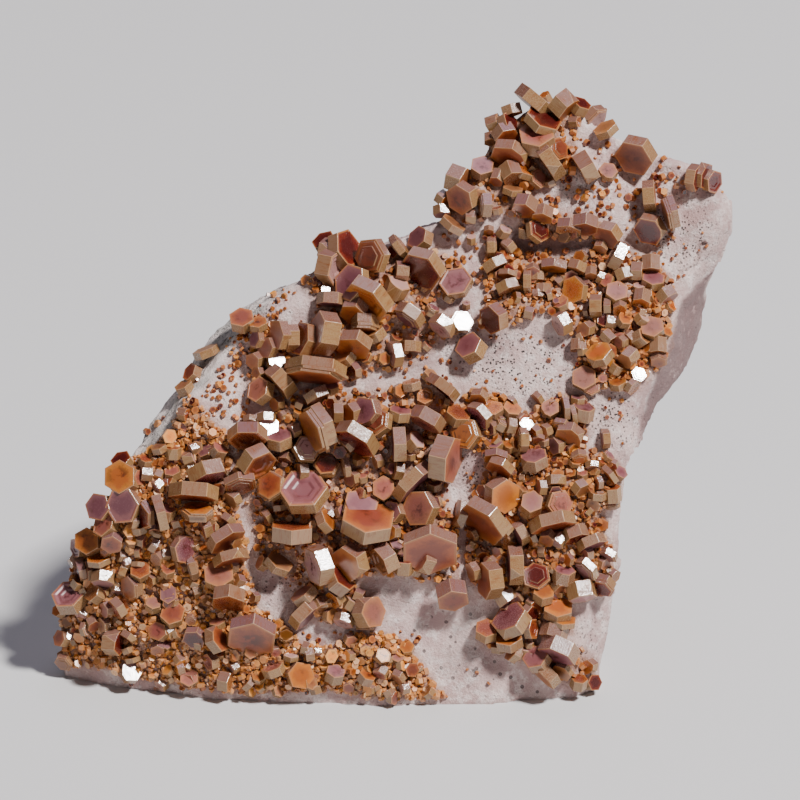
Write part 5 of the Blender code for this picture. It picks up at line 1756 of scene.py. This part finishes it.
# Bare places with a thin scatter of tiny crystals: outline, and how they are strewn.
BARE_SPRINKLES: tuple[tuple[list[Point], Sprinkle], ...] = (
    ([(20, 79), (40, 77), (47, 83), (42, 88), (30, 92), (24, 88)], Sprinkle(1.15, 0.45, 1.3, 0.62)),
    ([(21, 66), (43, 68), (46, 76), (20, 78)], Sprinkle(1.3, 0.45, 1.1, 0.45)),
    ([(6, 66), (14, 66), (18, 77), (6, 77)], Sprinkle(1.2, 0.4, 1.1, 0.5)),
    ([(-24, 62), (-14, 62), (-10, 66), (-16, 68)], Sprinkle(1.6, 0.4, 0.9, 0.3)),
    ([(6, 52), (28, 50), (28, 60), (12, 61)], Sprinkle(1.6, 0.35, 0.8, 0.3)),
    ([(30, 41), (38, 41), (38, 51), (29, 50)], Sprinkle(1.6, 0.35, 0.8, 0.3)),
    ([(7, 34), (15, 34), (15, 42), (7, 42)], Sprinkle(1.3, 0.4, 1.0, 0.45)),
    ([(8, 2.6), (15.5, 2.6), (15.5, 6.4), (8, 6.4)], Sprinkle(1.1, 0.4, 0.8, 0.35)),
    ([(-50, 2), (0, 2), (4, 12), (-24, 12)], Sprinkle(1.2, 0.4, 1.0, 0.4)),
    ([(-27, 45), (-18, 47), (-18, 58), (-28, 58)], Sprinkle(0.9, 0.3, 0.75, 0.26)),
    ([(-22, 58), (-15, 58), (-15, 64), (-22, 64)], Sprinkle(1.2, 0.3, 0.7, 0.25)),
    ([(-40, 38), (-36, 38), (-17, 66), (-20, 68)], Sprinkle(0.8, 0.4, 1.2, 0.6)),
    ([(-37, 40), (-26, 44), (-22, 53), (-28, 53)], Sprinkle(0.9, 0.4, 1.0, 0.32)),
    ([(-48, 36), (-38, 40), (-24, 62), (-32, 62)], Sprinkle(1.8, 0.5, 1.5, 0.3)),
    ([(-12, 50), (8, 50), (8, 56), (-8, 62)], Sprinkle(1.3, 0.4, 1.0, 0.4)),
    ([(42, 64), (52, 76), (52, 84), (40, 80)], Sprinkle(1.8, 0.3, 0.8, 0.25)),
    ([(42, 84), (52, 82), (53, 86), (44, 88)], Sprinkle(1.1, 0.4, 1.1, 0.45)),
)


@dataclass
class CrystalGarden:
    """Grows every druse and lone crystal on the rock."""

    face: RockFace
    material: bpy.types.Material
    # Two opposite corners, in metres, that no crystal reaches past.
    box: np.ndarray
    models: dict[Habit, TabletModel] = field(default_factory=dict)
    # Pale crystals nearer than this to mirroring the main light are turned to do so, nearly.
    flash_reach: float = math.radians(32.0)
    flash_jitter: float = math.radians(2.5)
    # Crystals of these deep tints stay at least this far from it.
    shaded_reach: float = math.radians(20.0)
    deep_codes: str = "rbopmt"
    # Crystals are a little wider or narrower than listed, each way across.
    squash_u: Point = (0.88, 1.08)
    squash_v: Point = (0.9, 1.1)
    small_mm: float = 1.6
    seat_lift_mm: float = 0.5
    crust_sink_mm: float = 0.2
    # How much of its size a leaning tablet is lifted by, so that its lower corner still touches.
    lean_lift: float = 0.30
    # Small crystals stay this share of a listed one's size away, less this share of their own.
    spared: float = 0.33
    overlap: float = 0.25
    # Small crystals: thickness over size, and how far they lean and spin, in degrees.
    small_thick: Point = (0.35, 0.62)
    small_lean: Point = (10, 85)
    small_spin: Point = (0, 60)
    lone_seed: int = 100
    bare_seed: int = 40
    bare_tints: str = "oohbbr"

    def __post_init__(self) -> None:
        """Models each habit once."""
        self.models = {habit: TabletModel(habit) for habit in Habit}

    def place(
        self, crystal: Crystal, model: TabletModel, draw: random.Random, sink: float = 0.2
    ) -> np.ndarray:
        """Returns the model's points, placed for a crystal.

        Args:
            crystal: Its place, size and attitude.
            model: The tablet that is copied.
            draw: Source of its small irregularities.
            sink: How far a large crystal is sunk into the ground, in mm.

        Returns:
            The points in metres, one row each.
        """
        u, v, across, thick, *angles, tint = crystal
        turn, lean, spin = (math.radians(angle) for angle in angles)
        lift = 0.5 * thick * math.cos(lean) + self.lean_lift * across * math.sin(lean)
        if across > self.small_mm:
            lift -= sink
        axis = FACE.direction(turn, lean)
        side = (FACE.up * math.cos(turn) - FACE.right * math.sin(turn)).normalized()
        attitude = Matrix((side, axis.cross(side), axis)).transposed() @ Matrix.Rotation(spin, 3, "Z")
        # Pale crystals, whose ends carry a painted highlight colour, are turned to mirror the main light.
        if tint == "w":
            attitude = self.flashing(attitude, draw)
        elif tint in self.deep_codes:
            attitude = self.shaded(attitude)
        squash = (draw.uniform(*self.squash_u), draw.uniform(*self.squash_v), 1.0)
        size = np.array((across, across, thick)) * squash * MM
        centre = FACE.place(u, v, self.face.nearest(u, v) + lift)
        points = (model.points * size) @ np.array(attitude).T + np.array(centre)
        sunk = FLOOR_CLEAR_MM * MM - points[:, 2].min()
        if sunk > 0:
            points += np.array(FACE.up) * sunk / FACE.up.z
        low, high = self.box
        past = np.clip(points.max(axis=0) - high, 0.0, None)
        past += np.clip(points.min(axis=0) - low, None, 0.0)
        return points - past

    def flashing(self, attitude: Matrix, draw: random.Random) -> Matrix:
        """Turns a crystal a little, so that its nearest face mirrors the main light.

        Args:
            attitude: How the crystal stands.
            draw: Source of chance.

        Returns:
            How it stands now: as before where no face is near enough.
        """
        ways = [Vector((0, 0, 1)), Vector((0, 0, -1))]
        ways += [Vector((math.cos(a), math.sin(a), 0)) for a in np.radians(range(0, 360, 60))]
        nearest = max((attitude @ way for way in ways), key=lambda way: way.dot(MIRROR_WAY))
        if nearest.angle(MIRROR_WAY) > self.flash_reach:
            return attitude
        turned = nearest.rotation_difference(MIRROR_WAY).to_matrix() @ attitude
        aside = Vector((draw.gauss(0, 1), draw.gauss(0, 1), draw.gauss(0, 1))).normalized()
        return Matrix.Rotation(draw.uniform(-1, 1) * self.flash_jitter, 3, aside) @ turned

    def shaded(self, attitude: Matrix) -> Matrix:
        """Turns a deep coloured crystal a little, so that its end doesn't mirror the main light.

        Args:
            attitude: How the crystal stands.

        Returns:
            How it stands now.
        """
        end = attitude @ Vector((0, 0, 1))
        between = end.angle(MIRROR_WAY)
        if between > self.shaded_reach:
            return attitude
        aside = MIRROR_WAY.cross(end).normalized()
        return Matrix.Rotation(self.shaded_reach - between, 3, aside) @ attitude

    def large(
        self, heap: CrystalHeap, crystals: list[Crystal], draw: random.Random, sink: float
    ) -> None:
        """Adds listed crystals to a heap, sunk this far into the ground.

        Args:
            heap: Where they go.
            crystals: The list.
            draw: Source of chance.
            sink: How deep they sink, in mm.
        """
        for crystal in crystals:
            model = self.models[draw.choice(LARGE_HABITS)]
            heap.add(model, self.place(crystal, model, draw, sink), TINTS[crystal[-1]], draw)

    def strewn(self, outline: list[Point], sprinkle: Sprinkle, draw: random.Random) -> Iterator[Point]:
        """Yields places for small crystals, on a jittered grid inside an outline.

        Args:
            outline: The corners of the ground that they cover.
            sprinkle: How they are strewn.
            draw: Source of chance.

        Yields:
            One (u, v) for each crystal.
        """
        (low_u, high_u), (low_v, high_v) = ((min(side), max(side)) for side in zip(*outline))
        step = sprinkle.spacing
        spots = []
        for j in range(int((high_v - low_v) / step) + 1):
            for i in range(int((high_u - low_u) / step) + 1):
                u = low_u + (i + draw.uniform(-0.5, 0.5) + 0.5 * (j % 2)) * step
                v = low_v + (j + draw.uniform(-0.5, 0.5)) * step
                spots.append((u, v))
        kept = inside(outline, np.array(spots))
        for spot, here in zip(spots, kept):
            if here and draw.random() < sprinkle.share:
                yield spot

    def small(self, heap: CrystalHeap, druse: Druse, draw: random.Random) -> None:
        """Adds the small crystals between the listed ones.

        Args:
            heap: Where they go.
            druse: The druse that they cover.
            draw: Source of chance.
        """
        listed = np.array([crystal[:3] for crystal in DRUSE_CRYSTALS[druse.name]])
        for sprinkle in druse.sprinkles:
            for u, v in self.strewn(OUTLINES[druse.name], sprinkle, draw):
                across = draw.uniform(sprinkle.smallest, sprinkle.largest)
                gaps = np.hypot(listed[:, 0] - u, listed[:, 1] - v) - self.spared * listed[:, 2]
                if (gaps < -self.overlap * across).any() or self.face.height(u, v) is None:
                    continue
                tints = druse.crumb_tints if across < self.small_mm else druse.tints
                self.add_small(heap, (u, v), across, tints, draw)

    def add_small(
        self, heap: CrystalHeap, spot: Point, across: float, tints: str, draw: random.Random
    ) -> None:
        """Adds one small crystal with a drawn attitude.

        Args:
            heap: Where it goes.
            spot: Its place.
            across: Its size in mm.
            tints: Codes of the colours that it may have.
            draw: Source of chance.
        """
        habit = Habit.CRUMB if across < self.small_mm else draw.choice((Habit.PLAIN, Habit.RIMMED))
        model = self.models[habit]
        thick = across * draw.uniform(*self.small_thick)
        angles = (draw.uniform(0, 360), draw.uniform(*self.small_lean), draw.uniform(*self.small_spin))
        tint = draw.choice(tints)
        crystal = (*spot, across, thick, *angles, tint)
        points = self.place(crystal, model, draw)
        heap.add(model, points, TINTS[tint], draw)

    def grow_druses(self) -> None:
        """Makes one piece for each druse."""
        for druse in DRUSES:
            draw = random.Random(druse.seed)
            heap = CrystalHeap()
            self.large(heap, DRUSE_CRYSTALS[druse.name], draw, self.crust_sink_mm)
            self.small(heap, druse, draw)
            piece = heap.build(f"{druse.name}_crystals", self.material)
            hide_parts(druse.name)

    def grow_lone(self) -> None:
        """Makes one piece for each lone crystal or group of them."""
        for number, (name, crystals) in enumerate(LONE_CRYSTALS.items()):
            draw = random.Random(self.lone_seed + number)
            heap = CrystalHeap()
            self.large(heap, crystals, draw, -self.seat_lift_mm)
            piece = heap.build(f"{name}_grown", self.material)
            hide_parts(name)

    def grow_crumbs(self) -> None:
        """Makes the thin scatter of tiny crystals on bare rock."""
        draw = random.Random(self.bare_seed)
        heap = CrystalHeap()
        for outline, sprinkle in BARE_SPRINKLES:
            for u, v in self.strewn(outline, sprinkle, draw):
                if self.face.height(u, v) is not None:
                    across = draw.uniform(sprinkle.smallest, sprinkle.largest)
                    self.add_small(heap, (u, v), across, self.bare_tints, draw)
        heap.build("scattered_crumbs", self.material)


# ---- the studio


@dataclass(frozen=True)
class Lamp:
    """One square lamp: where it hangs, seen from the specimen, in metres and watts."""

    name: str
    way: Vector
    distance: float
    side: float
    power: float
    tint: Colour


LAMPS: tuple[Lamp, ...] = (
    Lamp("main_lamp", LIGHT_WAY, 2.2, 0.28, 100.0, (1.0, 0.965, 0.945)),
    Lamp("left_fill", Vector((-0.8, -1.0, 0.5)), 1.3, 0.9, 1.3, (0.95, 0.96, 1.0)),
    Lamp("top_lamp", Vector((0.1, 0.35, 1.0)), 1.3, 0.7, 3.6, (0.86, 0.82, 1.0)),
)


@dataclass(frozen=True)
class Studio:
    """Floor, lights and camera."""

    distance: float = 1.5
    frame_mm: float = 128.0
    # The place of the face that the camera and the lamps are turned to: (u, v, w).
    aim: Point3 = (0.0, 48.96, 0.0)
    floor_side: float = 6.0
    floor_colour: Colour = (0.62, 0.62, 0.63)
    floor_roughness: float = 0.7
    surround_colour: Colour = (0.9, 0.92, 1.0)
    surround_strength: float = 0.038

    def floor(self) -> None:
        """Lays the floor under the specimen."""
        bpy.ops.object.select_all(action="DESELECT")
        bpy.ops.mesh.primitive_plane_add(size=self.floor_side, location=(0.0, 0.0, 0.0))
        floor = bpy.context.object
        floor.name = "floor"
        finish = {"Base Color": self.floor_colour, "Roughness": self.floor_roughness}
        floor.data.materials.append(Recipe("floor").finish(finish))
        floor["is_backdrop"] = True

    def hang(self, lamp: Lamp) -> None:
        """Hangs one lamp that faces the specimen.

        Args:
            lamp: The lamp.
        """
        light = bpy.data.lights.new(lamp.name, "AREA")
        light.size = lamp.side
        light.energy = lamp.power
        light.color = lamp.tint
        hung = bpy.data.objects.new(lamp.name, light)
        hung.location = FACE.place(*self.aim) + lamp.way.normalized() * lamp.distance
        hung.rotation_euler = lamp.way.to_track_quat("Z", "Y").to_euler()
        bpy.context.scene.collection.objects.link(hung)

    def lights(self) -> None:
        """Hangs the main lamp, a soft fill and a soft lamp above, in a pale surround."""
        for lamp in LAMPS:
            self.hang(lamp)
        world = bpy.data.worlds.new("surround")
        world.use_nodes = True
        surround = world.node_tree.nodes["Background"]
        surround.inputs["Color"].default_value = (*self.surround_colour, 1.0)
        surround.inputs["Strength"].default_value = self.surround_strength
        bpy.context.scene.world = world

    def camera(self) -> None:
        """Sets a long lens square to the display face."""
        data = bpy.data.cameras.new("camera")
        data.lens = data.sensor_width * self.distance / (self.frame_mm * MM)
        camera = bpy.data.objects.new("camera", data)
        attitude = Matrix((FACE.right, FACE.up, FACE.out)).transposed().to_4x4()
        place = FACE.place(*self.aim) + FACE.out * self.distance
        camera.matrix_world = Matrix.Translation(place) @ attitude
        bpy.context.scene.collection.objects.link(camera)
        bpy.context.scene.camera = camera


def corners(box: tuple) -> list[list[float]]:
    """Returns a box's two corners as plain lists."""
    return [[float(part) for part in corner] for corner in box]


def main() -> None:
    """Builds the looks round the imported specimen."""
    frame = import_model()
    solid_box = corners(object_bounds())
    rock = BariteSlab().build(frame["nodes"]["matrix"], BariteFinish().build())
    garden = CrystalGarden(RockFace(rock), VanadiniteFinish().build(), np.array(solid_box))
    garden.grow_druses()
    garden.grow_lone()
    garden.grow_crumbs()
    studio = Studio()
    studio.floor()
    studio.lights()
    studio.camera()
    {"cad": solid_box, "visual": corners(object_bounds())}


if __name__ == "__main__":
    logging.basicConfig(level=logging.INFO)
    main()
